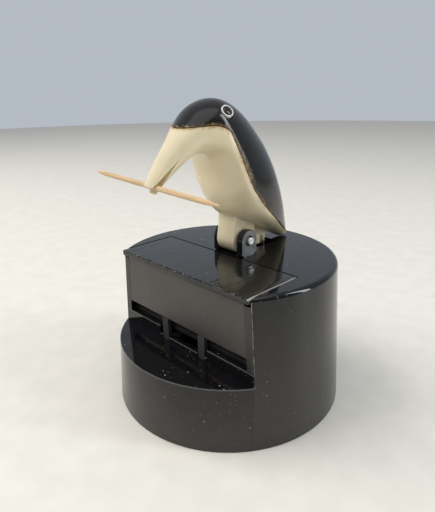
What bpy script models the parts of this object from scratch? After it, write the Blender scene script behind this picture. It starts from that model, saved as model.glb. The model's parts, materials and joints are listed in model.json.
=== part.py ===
"""A pecking-bird toothpick dispenser: a round black base that holds toothpicks, and a hinged bird.

Pushed down, the bird pecks a toothpick from the notch in the base's front lip. Its rear lever lifts
a wire link, which turns a rocker under the hopper and drops the two gate fingers that hold the
toothpicks back. A spring on the rocker's rear arm brings the bird up again.

Metres, +Z up. The origin is on the base's axis at table level. The bird faces -Y.
"""

import math

import bmesh
import bpy
from mathutils import Matrix, Vector

MM = 0.001

# ---------------------------------------------------------------- driving dimensions
BASE_RADIUS = 46.0 * MM            # of the base's outer wall at the table
TOP_RADIUS = 43.1 * MM             # of the outer wall at the top: it is moulded with a draft
BASE_HEIGHT = 57.5 * MM
WALL = 2.5 * MM
TOP_THICKNESS = 2.3 * MM
RIM_FILLET = 1.8 * MM              # round of the top's outer edge
GAP = 0.3 * MM                     # clearance between neighbouring pieces
ROUND_STEPS = 64                   # segments round the base

FRONT_Y = -25.0 * MM               # plane of the front wall
TRAY_Z = 25.0 * MM                 # half-moon tray in front of it
TRAY_THICKNESS = 2.0 * MM
LIP_TOP_Z = 29.85 * MM             # top of the low wall that holds the toothpicks in
SILL_Z = 26.5 * MM                 # bottom of the notch where the bird pecks
NOTCH_HALF = 13.8 * MM
FASCIA_BOTTOM_Z = 34.9 * MM
FASCIA_THICKNESS = 2.0 * MM

LID_HALF = 34.9 * MM
LID_FRONT_Y = -26.2 * MM
LID_REAR_Y = -0.6 * MM

PIVOT_Y = 4.6 * MM                 # the bird's hinge
PIVOT_Z = 63.5 * MM
EAR_INNER = 4.9 * MM
EAR_OUTER = 7.8 * MM
EAR_RADIUS = 4.4 * MM
EAR_NECK = (1.2 * MM, 8.0 * MM)    # y span of each ear where it goes through the top
BRACKET_HALF = 15.5 * MM           # the plate under the top that carries both ears
BRACKET_Y = (0.4 * MM, 8.8 * MM)
BRACKET_BASE = (50.6 * MM, 52.6 * MM)
BRACKET_SCREWS = [(-12.0 * MM, PIVOT_Y), (12.0 * MM, PIVOT_Y)]
PIN_RADIUS = 1.5 * MM
PIN_HEAD_RADIUS = 2.3 * MM
PIN_HEAD_HEIGHT = 0.8 * MM
LEG_HALF = 4.55 * MM
LEVER_HALF = 1.3 * MM
TOP_SLOT = ((-3.4 * MM, 10.0 * MM), (3.4 * MM, 27.0 * MM))

LINK_TOP = (19.3 * MM, 60.0 * MM)  # y, z of the wire's upper bend, in the bird's lever
LINK_FOOT = (21.0 * MM, 20.0 * MM)  # y, z of its lower bend, in the rocker's slot
WIRE_RADIUS = 0.6 * MM
LINK_X = 2.2 * MM                  # the wire's straight run passes beside the lever
ROCKER_Y = -8.0 * MM               # the rocker's shaft
ROCKER_Z = 32.0 * MM
SHAFT_RADIUS = 1.2 * MM
FINGER_X = 10.5 * MM               # middle of each gate finger
FINGER_WIDTH = 3.5 * MM
FINGER_Y = (-24.7 * MM, -23.0 * MM)  # front and rear of a finger's upright part
FINGER_TOP_Z = FASCIA_BOTTOM_Z - GAP
HUB_RADIUS = 2.6 * MM              # the rocker's sleeve on its shaft
HUB_HALF = 13.5 * MM
SPRING_Y = 6.5 * MM                # the return spring stands on a pad on the rocker's rear arm
SPRING_PAD_TOP = 28.2 * MM
SPRING_PAD_RADIUS = 3.4 * MM
SPRING_RADIUS = 2.7 * MM
SPRING_TURNS = 7
SPRING_WIRE = 0.35 * MM

HOPPER_HALF = 33.5 * MM            # inside: 67 mm takes a 65 mm toothpick
HOPPER_WALL = 1.2 * MM
FLOOR_FRONT = (-22.2 * MM, 31.6 * MM)  # y, z along the top of the sloping floor
FLOOR_REAR = (-1.5 * MM, 44.0 * MM)
FLOOR_DROP = 2.0 * MM              # the floor's thickness, measured straight down
HOPPER_SIDE_FRONT = -20.4 * MM
HOPPER_TOP_Z = BASE_HEIGHT - TOP_THICKNESS - GAP
HOPPER_SCREWS = [(-22.0 * MM, 5.2 * MM), (22.0 * MM, 5.2 * MM)]
HOPPER_FLANGE_TOP = 49.7 * MM
HOPPER_FLANGE_THICKNESS = 2.0 * MM
SHAFT_HALF = 23.5 * MM
RIB_X = 20.0 * MM                  # ribs under the hopper that hold the shaft's bushes
RIB_HALF = 1.5 * MM
BUSH_RADIUS = 2.3 * MM

PICK_LENGTH = 65.0 * MM
PICK_RADIUS = 0.95 * MM
PICK_TAPER = 9.0 * MM
PICK_POINT = 0.35 * MM

COVER_BOTTOM_Z = 1.0 * MM
COVER_THICKNESS = 2.2 * MM
COVER_TOP_Z = COVER_BOTTOM_Z + COVER_THICKNESS
COVER_SCREWS = [(0.0, -36.0 * MM), (-27.0 * MM, 22.0 * MM), (27.0 * MM, 22.0 * MM)]
TOP_INSIDE_Z = BASE_HEIGHT - TOP_THICKNESS
BOSS_RADIUS = 3.2 * MM             # posts that the cover and the hopper are screwed to
BRACKET_BOSS_RADIUS = 2.6 * MM
SCREW_HOLE = 1.1 * MM
SCREW_SHANK = 0.8 * MM
SCREW_HEAD = 2.5 * MM
SCREW_HEAD_HEIGHT = 1.0 * MM

BIRD_SCALE = BASE_RADIUS           # the bird's outlines below are in units of the base's radius

# Sections through the bird from tail to bill: under side (y, z), upper side (y, z), half width, and
# where the widest point lies, as a share of the way from the under side to the upper side.
BIRD_SECTIONS = [
    ((0.785, 1.262), (0.800, 1.290), 0.030, 0.50),
    ((0.690, 1.262), (0.700, 1.400), 0.090, 0.50),
    ((0.550, 1.330), (0.640, 1.560), 0.155, 0.37),
    ((0.360, 1.420), (0.580, 1.730), 0.228, 0.30),
    ((0.160, 1.520), (0.512, 1.905), 0.283, 0.22),
    ((-0.035, 1.620), (0.438, 2.040), 0.305, 0.30),
    ((-0.115, 1.800), (0.360, 2.170), 0.305, 0.19),
    ((-0.155, 1.965), (0.255, 2.290), 0.290, 0.14),
    ((-0.225, 2.105), (0.130, 2.410), 0.270, 0.17),
    ((-0.300, 2.140), (-0.020, 2.505), 0.252, 0.33),
    ((-0.375, 2.140), (-0.170, 2.540), 0.222, 0.55),
    ((-0.440, 2.114), (-0.322, 2.496), 0.180, 0.64),
    ((-0.500, 2.072), (-0.466, 2.380), 0.140, 0.60),
    ((-0.560, 2.030), (-0.570, 2.272), 0.105, 0.50),
    ((-0.640, 1.975), (-0.663, 2.165), 0.085, 0.50),
    ((-0.700, 1.931), (-0.745, 2.055), 0.075, 0.50),
    ((-0.742, 1.893), (-0.805, 1.966), 0.062, 0.50),
]
SECTION_POINTS = 20
RINGS_PER_SECTION = 2

# The joint line between the black back and the pale front, in the bird's side view.
SEAM = [
    (-0.700, 2.325), (-0.500, 2.340), (-0.305, 2.352), (-0.198, 2.310), (-0.168, 2.245),
    (-0.108, 2.105), (0.000, 1.862), (0.192, 1.655), (0.495, 1.442), (0.785, 1.274), (0.950, 1.195),
]
BILL_SLIT = (-0.573, 2.130)        # the corner of the mouth
BILL_GRIP = (-0.748, 1.950)        # where the open bill holds a toothpick
BILL_SLIT_HALF_ANGLE = math.radians(6.3)
EYE_AT = (0.197, -0.180, 2.447)
EYE_AXIS = Vector((0.80, -0.10, 0.59)).normalized()
EYE_RADIUS = 2.25 * MM
EYE_INNER = 1.80 * MM              # inside radius of the white ring
EYE_HEIGHT = 1.2 * MM
EYE_SOCKET_DEPTH = 1.4 * MM
LEG_LUG_RADIUS = 5.7 * MM
LEVER_EYE_RADIUS = 2.1 * MM
LINK_HOLE = 1.0 * MM

# ---------------------------------------------------------------- scene and helpers
for old in list(bpy.data.objects):
    bpy.data.objects.remove(old, do_unlink=True)

PARTS = bpy.data.collections.new("pecking_bird_dispenser")
CUTTERS = bpy.data.collections.new("cutters")
for group in (PARTS, CUTTERS):
    bpy.context.scene.collection.children.link(group)


def material(name, colour, roughness, metallic=0.0):
    made = bpy.data.materials.new(name)
    made.use_nodes = True
    shader = made.node_tree.nodes["Principled BSDF"]
    shader.inputs["Base Color"].default_value = (*colour, 1.0)
    shader.inputs["Roughness"].default_value = roughness
    shader.inputs["Metallic"].default_value = metallic
    return made


BLACK_GLOSS = material("black_gloss_plastic", (0.012, 0.012, 0.013), 0.18)
BLACK_SATIN = material("black_satin_plastic", (0.030, 0.029, 0.027), 0.42)
BLACK_INNER = material("black_inner_plastic", (0.020, 0.020, 0.020), 0.55)
CREAM = material("cream_plastic", (0.80, 0.72, 0.55), 0.30)
WHITE = material("white_plastic", (0.85, 0.84, 0.80), 0.35)
STEEL = material("bright_steel", (0.75, 0.75, 0.76), 0.22, 1.0)
WOOD = material("birch_wood", (0.70, 0.50, 0.28), 0.65)


def new_object(name, mesh, finish=None, round_piece=False):
    """A part when it has a finish, otherwise a cutter."""
    made = bpy.data.objects.new(name, mesh)
    if finish is None:
        CUTTERS.objects.link(made)
        made.hide_render = True
        made.display_type = "WIRE"
    else:
        PARTS.objects.link(made)
        mesh.materials.append(finish)
    if round_piece:
        mesh.shade_smooth()
        mesh.set_sharp_from_angle(angle=math.radians(35))
    return made


def mesh_from(bm, name):
    mesh = bpy.data.meshes.new(name)
    bmesh.ops.recalc_face_normals(bm, faces=bm.faces)
    bm.to_mesh(mesh)
    bm.free()
    return mesh


def box(name, low, high, finish=None):
    bm = bmesh.new()
    bmesh.ops.create_cube(bm, size=1.0)
    low, high = Vector(low), Vector(high)
    size = high - low
    bmesh.ops.scale(bm, vec=size, verts=bm.verts)
    bmesh.ops.translate(bm, vec=(low + high) / 2, verts=bm.verts)
    return new_object(name, mesh_from(bm, name), finish)


def round_bar(name, start, end, radius, finish=None, steps=24):
    """A cylinder from start to end."""
    start, end = Vector(start), Vector(end)
    along = end - start
    bm = bmesh.new()
    bmesh.ops.create_cone(
        bm, cap_ends=True, segments=steps, radius1=radius, radius2=radius, depth=along.length
    )
    turn = Vector((0, 0, 1)).rotation_difference(along).to_matrix().to_4x4()
    bm.transform(Matrix.Translation((start + end) / 2) @ turn)
    return new_object(name, mesh_from(bm, name), finish, round_piece=True)


def evaluated_mesh(obj, name):
    """The object's mesh after its modifiers, in world space, with loose caps welded."""
    graph = bpy.context.evaluated_depsgraph_get()
    mesh = bpy.data.meshes.new_from_object(obj.evaluated_get(graph))
    mesh.name = name
    mesh.transform(obj.matrix_world)
    bm = bmesh.new()
    bm.from_mesh(mesh)
    bmesh.ops.remove_doubles(bm, verts=bm.verts, dist=0.001 * MM)
    bmesh.ops.recalc_face_normals(bm, faces=bm.faces)
    bm.to_mesh(mesh)
    bm.free()
    mesh.materials.clear()
    return mesh


def turned(name, profile, centre, axis, finish=None, steps=24):
    """A profile of (radius, height) points, run down its outer side, turned round an axis."""
    bm = bmesh.new()
    points = [bm.verts.new((r, 0.0, h)) for r, h in profile]
    for a, b in zip(points, points[1:]):
        bm.edges.new((a, b))
    mesh = bpy.data.meshes.new(name + "_profile")
    bm.to_mesh(mesh)
    bm.free()
    guide = bpy.data.objects.new(name + "_profile", mesh)
    CUTTERS.objects.link(guide)
    screw = guide.modifiers.new("turn", "SCREW")
    screw.axis = "Z"
    screw.steps = steps
    screw.render_steps = steps
    screw.use_merge_vertices = True
    screw.merge_threshold = 0.01 * MM
    made = evaluated_mesh(guide, name)
    bpy.data.objects.remove(guide, do_unlink=True)
    turn = Vector((0, 0, 1)).rotation_difference(Vector(axis)).to_matrix().to_4x4()
    made.transform(Matrix.Translation(Vector(centre)) @ turn)
    return new_object(name, made, finish, round_piece=True)


def side_plate(name, outline, x_low, x_high, finish=None):
    """A flat outline of (y, z) points, in metres, extruded along X from x_low to x_high."""
    curve = bpy.data.curves.new(name, "CURVE")
    curve.dimensions = "2D"
    curve.fill_mode = "BOTH"
    curve.extrude = (x_high - x_low) / 2
    spline = curve.splines.new("POLY")
    spline.points.add(len(outline) - 1)
    for point, (y, z) in zip(spline.points, outline):
        point.co = (y, z, 0.0, 1.0)
    spline.use_cyclic_u = True
    guide = bpy.data.objects.new(name + "_outline", curve)
    CUTTERS.objects.link(guide)
    # the outline's own X, Y and Z become the part's Y, Z and X
    guide.matrix_world = Matrix(
        ((0, 0, 1, (x_low + x_high) / 2), (1, 0, 0, 0), (0, 1, 0, 0), (0, 0, 0, 1))
    )
    bpy.context.view_layer.update()
    made = evaluated_mesh(guide, name)
    bpy.data.objects.remove(guide, do_unlink=True)
    bpy.data.curves.remove(curve)
    return new_object(name, made, finish)


def wire(name, points, radius, finish):
    """A round wire along a list of points."""
    curve = bpy.data.curves.new(name, "CURVE")
    curve.dimensions = "3D"
    curve.bevel_depth = radius
    curve.bevel_resolution = 2
    curve.use_fill_caps = True
    spline = curve.splines.new("POLY")
    spline.points.add(len(points) - 1)
    for point, place in zip(spline.points, points):
        point.co = (*place, 1.0)
    made = bpy.data.objects.new(name, curve)
    curve.materials.append(finish)
    PARTS.objects.link(made)
    return made


def combine(target, tool, operation):
    change = target.modifiers.new(tool.name, "BOOLEAN")
    change.operation = operation
    change.solver = "EXACT"
    change.object = tool


def cut(target, *tools):
    for tool in tools:
        combine(target, tool, "DIFFERENCE")


def join(target, *tools):
    for tool in tools:
        combine(target, tool, "UNION")


def arc(centre, radius, start_deg, end_deg, count):
    """Points (y, z) on an arc, its ends included."""
    step = (end_deg - start_deg) / (count - 1)
    turns = [math.radians(start_deg + step * i) for i in range(count)]
    return [(centre[0] + radius * math.cos(a), centre[1] + radius * math.sin(a)) for a in turns]


def wall_radius(z):
    """Radius of the base's drafted outer wall at a height."""
    return BASE_RADIUS + (TOP_RADIUS - BASE_RADIUS) * z / BASE_HEIGHT


# ---------------------------------------------------------------- base
def boss(name, at, low_z, high_z, radius, hole_top):
    """A round screw post and the blind hole that goes up into it."""
    post = round_bar(name, (*at, low_z), (*at, high_z + 1.0 * MM), radius)
    hole = round_bar(name + "_hole", (*at, low_z - 1.0 * MM), (*at, hole_top), SCREW_HOLE, steps=16)
    return post, hole


def drum_housing():
    fillet = arc((TOP_RADIUS - RIM_FILLET, BASE_HEIGHT - RIM_FILLET), RIM_FILLET, 90, 3, 5)
    profile = [(0.0, BASE_HEIGHT), *fillet, (BASE_RADIUS, 0.0), (0.0, 0.0)]
    drum = turned("drum_housing", profile, (0, 0, 0), (0, 0, 1), BLACK_GLOSS, ROUND_STEPS)

    below_tray = TRAY_Z - TRAY_THICKNESS
    room = turned(
        "drum_room",
        [(0.0, TOP_INSIDE_Z), (wall_radius(TOP_INSIDE_Z) - WALL, TOP_INSIDE_Z),
         (wall_radius(-MM) - WALL, -MM), (0.0, -MM)],
        (0, 0, 0), (0, 0, 1), steps=ROUND_STEPS,
    )
    cut(room, box(
        "tray_and_lip",
        (-2 * BASE_RADIUS, -2 * BASE_RADIUS, below_tray), (2 * BASE_RADIUS, FRONT_Y + WALL, LIP_TOP_Z),
    ))
    front_step = box(
        "front_step",
        (-2 * BASE_RADIUS, -2 * BASE_RADIUS, TRAY_Z), (2 * BASE_RADIUS, FRONT_Y, 2 * BASE_HEIGHT),
    )
    notch = box(
        "peck_notch",
        (-NOTCH_HALF, FRONT_Y - MM, SILL_Z), (NOTCH_HALF, FRONT_Y + WALL + MM, LIP_TOP_Z + MM),
    )
    lid_well = box(
        "lid_well",
        (-LID_HALF - GAP, -BASE_RADIUS, TOP_INSIDE_Z - MM),
        (LID_HALF + GAP, LID_REAR_Y + GAP, BASE_HEIGHT + MM),
    )
    link_slot = box(
        "link_slot", (*TOP_SLOT[0], TOP_INSIDE_Z - MM), (*TOP_SLOT[1], BASE_HEIGHT + MM)
    )
    cut(drum, room, front_step, notch, lid_well, link_slot)
    for at in (-FINGER_X, FINGER_X):
        half = FINGER_WIDTH / 2 + GAP
        cut(drum, box(
            f"finger_slot_{at:.3f}",
            (at - half, FRONT_Y - 0.01 * MM, below_tray - MM), (at + half, FRONT_Y + WALL + MM, LIP_TOP_Z),
        ))
    for side in (-1, 1):
        low_x = min(side * (EAR_INNER - GAP), side * (EAR_OUTER + GAP))
        high_x = max(side * (EAR_INNER - GAP), side * (EAR_OUTER + GAP))
        cut(drum, box(
            f"ear_hole_{side}",
            (low_x, EAR_NECK[0] - GAP, TOP_INSIDE_Z - MM), (high_x, EAR_NECK[1] + GAP, BASE_HEIGHT + MM),
        ))
    posts = []
    for i, at in enumerate(COVER_SCREWS):
        roof = below_tray if at[1] < FRONT_Y else TOP_INSIDE_Z
        posts.append(boss(f"cover_boss_{i}", at, COVER_TOP_Z + GAP, roof, BOSS_RADIUS, 14.0 * MM))
    for i, at in enumerate(HOPPER_SCREWS):
        low = HOPPER_FLANGE_TOP + GAP
        posts.append(boss(f"hopper_boss_{i}", at, low, TOP_INSIDE_Z, BOSS_RADIUS, 55.6 * MM))
    for i, at in enumerate(BRACKET_SCREWS):
        low = BRACKET_BASE[1] + GAP
        posts.append(boss(f"bracket_boss_{i}", at, low, TOP_INSIDE_Z, BRACKET_BOSS_RADIUS, 55.9 * MM))
    for post, _ in posts:
        join(drum, post)
    for _, hole in posts:
        cut(drum, hole)


def front_fascia():
    """The flat plate over the slot; its ends follow the inside of the drum's wall."""
    radius_low = wall_radius(FASCIA_BOTTOM_Z) - WALL - GAP
    radius_high = wall_radius(HOPPER_TOP_Z) - WALL - GAP
    plate = turned(
        "front_fascia",
        [(0.0, HOPPER_TOP_Z), (radius_high, HOPPER_TOP_Z),
         (radius_low, FASCIA_BOTTOM_Z), (0.0, FASCIA_BOTTOM_Z)],
        (0, 0, 0), (0, 0, 1), BLACK_SATIN, ROUND_STEPS,
    )
    far = 2 * BASE_RADIUS
    cut(plate, box("fascia_front", (-far, -far, 0.0), (far, FRONT_Y, far)))
    cut(plate, box("fascia_rear", (-far, FRONT_Y + FASCIA_THICKNESS, 0.0), (far, far, far)))


def hopper_lid():
    lid = box(
        "hopper_lid", (-LID_HALF, LID_FRONT_Y, TOP_INSIDE_Z), (LID_HALF, LID_REAR_Y, BASE_HEIGHT),
        BLACK_SATIN,
    )
    bevel = lid.modifiers.new("edges", "BEVEL")
    bevel.width = 0.5 * MM
    bevel.segments = 2
    bevel.limit_method = "ANGLE"


def bottom_cover():
    radius = wall_radius(COVER_TOP_Z) - WALL - 0.5 * MM
    cover = turned(
        "bottom_cover",
        [(0.0, COVER_TOP_Z), (radius, COVER_TOP_Z), (radius, COVER_BOTTOM_Z), (0.0, COVER_BOTTOM_Z)],
        (0, 0, 0), (0, 0, 1), BLACK_INNER, ROUND_STEPS,
    )
    for i, at in enumerate(COVER_SCREWS):
        cut(cover, round_bar(f"cover_hole_{i}", (*at, 0.0), (*at, 2 * COVER_TOP_Z), SCREW_HOLE, steps=16))
        recess_top = COVER_BOTTOM_Z + COVER_THICKNESS / 2
        cut(cover, round_bar(f"cover_recess_{i}", (*at, 0.0), (*at, recess_top), SCREW_HEAD + 2 * GAP))


def screw(name, at, head_bottom, tip_z):
    """A pan-head screw that points up, with a cross recess in its head."""
    head_top = head_bottom + SCREW_HEAD_HEIGHT
    profile = [
        (0.0, tip_z), (SCREW_SHANK * 0.4, tip_z), (SCREW_SHANK, tip_z - 1.2 * MM), (SCREW_SHANK, head_top),
        (SCREW_HEAD, head_top), (SCREW_HEAD, head_bottom + 0.5 * MM), (SCREW_HEAD * 0.7, head_bottom),
        (0.0, head_bottom),
    ]
    made = turned(name, profile, (*at, 0.0), (0, 0, 1), STEEL, steps=16)
    arm, half = 1.3 * MM, 0.25 * MM
    depth = head_bottom + 0.5 * MM
    for turn, (x, y) in enumerate(((arm, half), (half, arm))):
        cut(made, box(
            f"{name}_cross_{turn}", (at[0] - x, at[1] - y, head_bottom - MM), (at[0] + x, at[1] + y, depth)
        ))


def screws():
    for i, at in enumerate(COVER_SCREWS, 1):
        screw(f"cover_screw_{i}", at, COVER_BOTTOM_Z - 0.3 * MM, 13.0 * MM)
    for side, at in zip(("left", "right"), HOPPER_SCREWS):
        screw(f"hopper_screw_{side}", at, HOPPER_FLANGE_TOP - 3.3 * MM, 55.0 * MM)
    for side, at in zip(("left", "right"), BRACKET_SCREWS):
        screw(f"bracket_screw_{side}", at, BRACKET_BASE[0] - 1.3 * MM, 55.3 * MM)


# ---------------------------------------------------------------- hinge
def hinge_bracket():
    base = box(
        "hinge_bracket",
        (-BRACKET_HALF, BRACKET_Y[0], BRACKET_BASE[0]), (BRACKET_HALF, BRACKET_Y[1], BRACKET_BASE[1]),
        BLACK_GLOSS,
    )
    shoulder = BASE_HEIGHT + GAP
    crown = arc((PIVOT_Y, PIVOT_Z), EAR_RADIUS, 0, 180, 13)
    outline = [
        (EAR_NECK[1], BRACKET_BASE[0] + MM), (EAR_NECK[1], shoulder), (PIVOT_Y + EAR_RADIUS, shoulder),
        *crown, (PIVOT_Y - EAR_RADIUS, shoulder), (EAR_NECK[0], shoulder),
        (EAR_NECK[0], BRACKET_BASE[0] + MM),
    ]
    join(base, side_plate("ear_right", outline, EAR_INNER, EAR_OUTER))
    join(base, side_plate("ear_left", outline, -EAR_OUTER, -EAR_INNER))
    pin_hole = round_bar(
        "ear_pin_hole",
        (-2 * EAR_OUTER, PIVOT_Y, PIVOT_Z), (2 * EAR_OUTER, PIVOT_Y, PIVOT_Z), PIN_RADIUS + GAP,
    )
    cut(base, pin_hole)
    for i, at in enumerate(BRACKET_SCREWS):
        cut(base, round_bar(f"bracket_hole_{i}", (*at, 49 * MM), (*at, 54 * MM), SCREW_HOLE, steps=16))


def hinge_pin():
    head_in = EAR_OUTER + GAP
    head_out = head_in + PIN_HEAD_HEIGHT
    chamfer = 0.3 * MM
    profile = [
        (0.0, head_out), (PIN_RADIUS - chamfer, head_out), (PIN_RADIUS, head_out - chamfer),
        (PIN_RADIUS, -head_in), (PIN_HEAD_RADIUS, -head_in), (PIN_HEAD_RADIUS, -head_out + chamfer),
        (PIN_HEAD_RADIUS - chamfer, -head_out), (0.0, -head_out),
    ]
    turned("hinge_pin", profile, (0, PIVOT_Y, PIVOT_Z), (1, 0, 0), STEEL)


# ---------------------------------------------------------------- bird
def blend(a, b, t, before, after):
    """Catmull-Rom value between a and b."""
    return 0.5 * (
        2 * a + (b - before) * t
        + (2 * before - 5 * a + 4 * b - after) * t * t
        + (3 * a - before - 3 * b + after) * t ** 3
    )


def section_values():
    """Every section as one row of six numbers, with smooth rows between the given ones."""
    rows = [[*low, *high, half, share] for low, high, half, share in BIRD_SECTIONS]
    rows = [rows[0], *rows, rows[-1]]
    out = []
    for before, a, b, after in zip(rows, rows[1:], rows[2:], rows[3:]):
        for i in range(RINGS_PER_SECTION):
            t = i / RINGS_PER_SECTION
            out.append([blend(*pair[1:3], t, pair[0], pair[3]) for pair in zip(before, a, b, after)])
    out.append(rows[-1])
    return out


def section_ring(row):
    """Points round one section: two half ellipses that meet at its widest line."""
    low = Vector((0.0, row[0], row[1])) * BIRD_SCALE
    high = Vector((0.0, row[2], row[3])) * BIRD_SCALE
    half = row[4] * BIRD_SCALE
    middle = low + (high - low) * row[5]
    ring = []
    for i in range(SECTION_POINTS):
        turn = 2 * math.pi * (i + 0.5) / SECTION_POINTS
        reach = (high - middle) if math.sin(turn) > 0 else (middle - low)
        side = Vector((half * math.cos(turn), 0.0, 0.0))
        ring.append(middle + side + reach * math.sin(turn))
    return ring


def bird_body(name, finish=None):
    bm = bmesh.new()
    rings = [[bm.verts.new(p) for p in section_ring(row)] for row in section_values()]
    for one, two in zip(rings, rings[1:]):
        for i in range(SECTION_POINTS):
            j = (i + 1) % SECTION_POINTS
            bm.faces.new((one[i], one[j], two[j], two[i]))
    bm.faces.new(rings[0])
    bm.faces.new(list(reversed(rings[-1])))
    return new_object(name, mesh_from(bm, name), finish, round_piece=True)


def seam_outline(shift):
    """The region behind the seam in the side view, moved by shift away from the pale front."""
    line = [Vector(p) * BIRD_SCALE for p in SEAM]
    moved = []
    for i, point in enumerate(line):
        ahead = line[min(i + 1, len(line) - 1)]
        behind = line[max(i - 1, 0)]
        run = (ahead - behind).normalized()
        moved.append(point + Vector((-run.y, run.x)) * shift)
    far = [Vector(p) * BIRD_SCALE for p in ((1.30, 1.20), (1.30, 2.90), (-1.00, 2.90), (-1.00, 2.325))]
    return [(p.x, p.y) for p in moved + far]


def scaled(points):
    return [(y * BIRD_SCALE, z * BIRD_SCALE) for y, z in points]


def bird():
    half_gap = GAP / 2
    wide = BASE_RADIUS
    back = bird_body("bird_back_shell", BLACK_GLOSS)
    combine(back, side_plate("back_region", seam_outline(half_gap), -wide, wide), "INTERSECT")
    front = bird_body("bird_front_shell", CREAM)
    cut(front, side_plate("front_region", seam_outline(-half_gap), -wide, wide))

    lug = LEG_LUG_RADIUS / BIRD_SCALE
    pivot = (PIVOT_Y / BIRD_SCALE, PIVOT_Z / BIRD_SCALE)
    leg = scaled([
        (0.100, 1.700), (0.020, 1.640), (-0.004, 1.500), *arc(pivot, lug, 180, 360, 13), (0.240, 1.520),
        (0.240, 1.560),
    ])
    join(front, side_plate("leg", leg, -LEG_HALF, LEG_HALF))
    eye_y, eye_z = LINK_TOP
    lever = [
        (pivot[0] * BIRD_SCALE, PIVOT_Z - 5.0 * MM), *arc((eye_y, eye_z), LEVER_EYE_RADIUS, 270, 380, 6),
        (24.0 * MM, 64.0 * MM), (20.0 * MM, 66.5 * MM), (7.0 * MM, 68.0 * MM),
    ]
    join(front, side_plate("lever", lever, -LEVER_HALF, LEVER_HALF))
    pin_hole = round_bar(
        "leg_pin_hole", (-EAR_OUTER, PIVOT_Y, PIVOT_Z), (EAR_OUTER, PIVOT_Y, PIVOT_Z), PIN_RADIUS + GAP
    )
    link_hole = round_bar(
        "link_hole", (-EAR_OUTER, eye_y, eye_z), (EAR_OUTER, eye_y, eye_z), LINK_HOLE, steps=16
    )
    cut(front, pin_hole, link_hole)

    corner = Vector(BILL_SLIT)
    toward = Vector(BILL_GRIP) - corner
    reach = 2.0
    slit = [corner]
    for side in (-1, 1):
        slit.append(corner + Matrix.Rotation(side * BILL_SLIT_HALF_ANGLE, 2) @ toward * reach)
    cut(front, side_plate("bill_slit", scaled([tuple(p) for p in slit]), -wide, wide))

    for side, label in ((1, "left"), (-1, "right")):
        centre = Vector((side * EYE_AT[0], EYE_AT[1], EYE_AT[2])) * BIRD_SCALE
        axis = Vector((side * EYE_AXIS.x, EYE_AXIS.y, EYE_AXIS.z))
        floor = centre - axis * EYE_SOCKET_DEPTH
        cut(back, round_bar(
            f"eye_socket_{label}", floor, centre + axis * 3 * MM, EYE_RADIUS + GAP, steps=24
        ))
        eye(label, floor + axis * GAP, axis)


def eye(label, base, axis):
    """A white ring round a dark bead, both seated in the socket."""
    crown = arc(((EYE_RADIUS + EYE_INNER) / 2, EYE_HEIGHT), (EYE_RADIUS - EYE_INNER) / 2, 180, 0, 5)
    ring = [(EYE_INNER, 0.0), *crown, (EYE_RADIUS, 0.0), (EYE_INNER, 0.0)]
    turned(f"eye_ring_{label}", ring, base, axis, WHITE)
    bead = EYE_INNER - GAP
    dome_rise = 0.5 * MM
    turns = [math.radians(90 - 22.5 * i) for i in range(5)]
    dome = [(bead * math.cos(a), EYE_HEIGHT + dome_rise * math.sin(a)) for a in turns]
    dome[0] = (0.0, dome[0][1])
    turned(f"eye_bead_{label}", [*dome, (bead, 0.0), (0.0, 0.0)], base, axis, BLACK_GLOSS)


# ---------------------------------------------------------------- toothpicks
def toothpick(name, centre, tilt_deg=0.0, steps=10):
    """A round toothpick along X, pointed at both ends."""
    end = PICK_LENGTH / 2
    profile = [
        (0.0, end), (PICK_POINT, end), (PICK_RADIUS, end - PICK_TAPER), (PICK_RADIUS, -end + PICK_TAPER),
        (PICK_POINT, -end), (0.0, -end),
    ]
    tilt = math.radians(tilt_deg)
    turned(name, profile, centre, (math.cos(tilt), 0.0, -math.sin(tilt)), WOOD, steps)


def hopper_toothpicks():
    """Two layers on the sloping floor, the lower one resting against the gate fingers."""
    slope = math.atan2(FLOOR_REAR[1] - FLOOR_FRONT[1], FLOOR_REAR[0] - FLOOR_FRONT[0])
    pitch = 2 * PICK_RADIUS + GAP
    first = Vector((0.0, FINGER_Y[1] + GAP + PICK_RADIUS, 0.0))
    lift = (PICK_RADIUS + GAP) / math.cos(slope)
    floor_at = FLOOR_FRONT[1] + (first.y - FLOOR_FRONT[0]) * math.tan(slope)
    first.z = floor_at + lift
    up_slope = Vector((0.0, math.cos(slope), math.sin(slope)))
    off_floor = Vector((0.0, -math.sin(slope), math.cos(slope)))
    number = 1
    for layer, count in enumerate((7, 5)):
        start = first + up_slope * pitch * 0.5 * layer + off_floor * pitch * 0.87 * layer
        if layer:
            start += up_slope * pitch
        for i in range(count):
            toothpick(f"toothpick_{number:02d}", start + up_slope * pitch * i)
            number += 1


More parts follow.
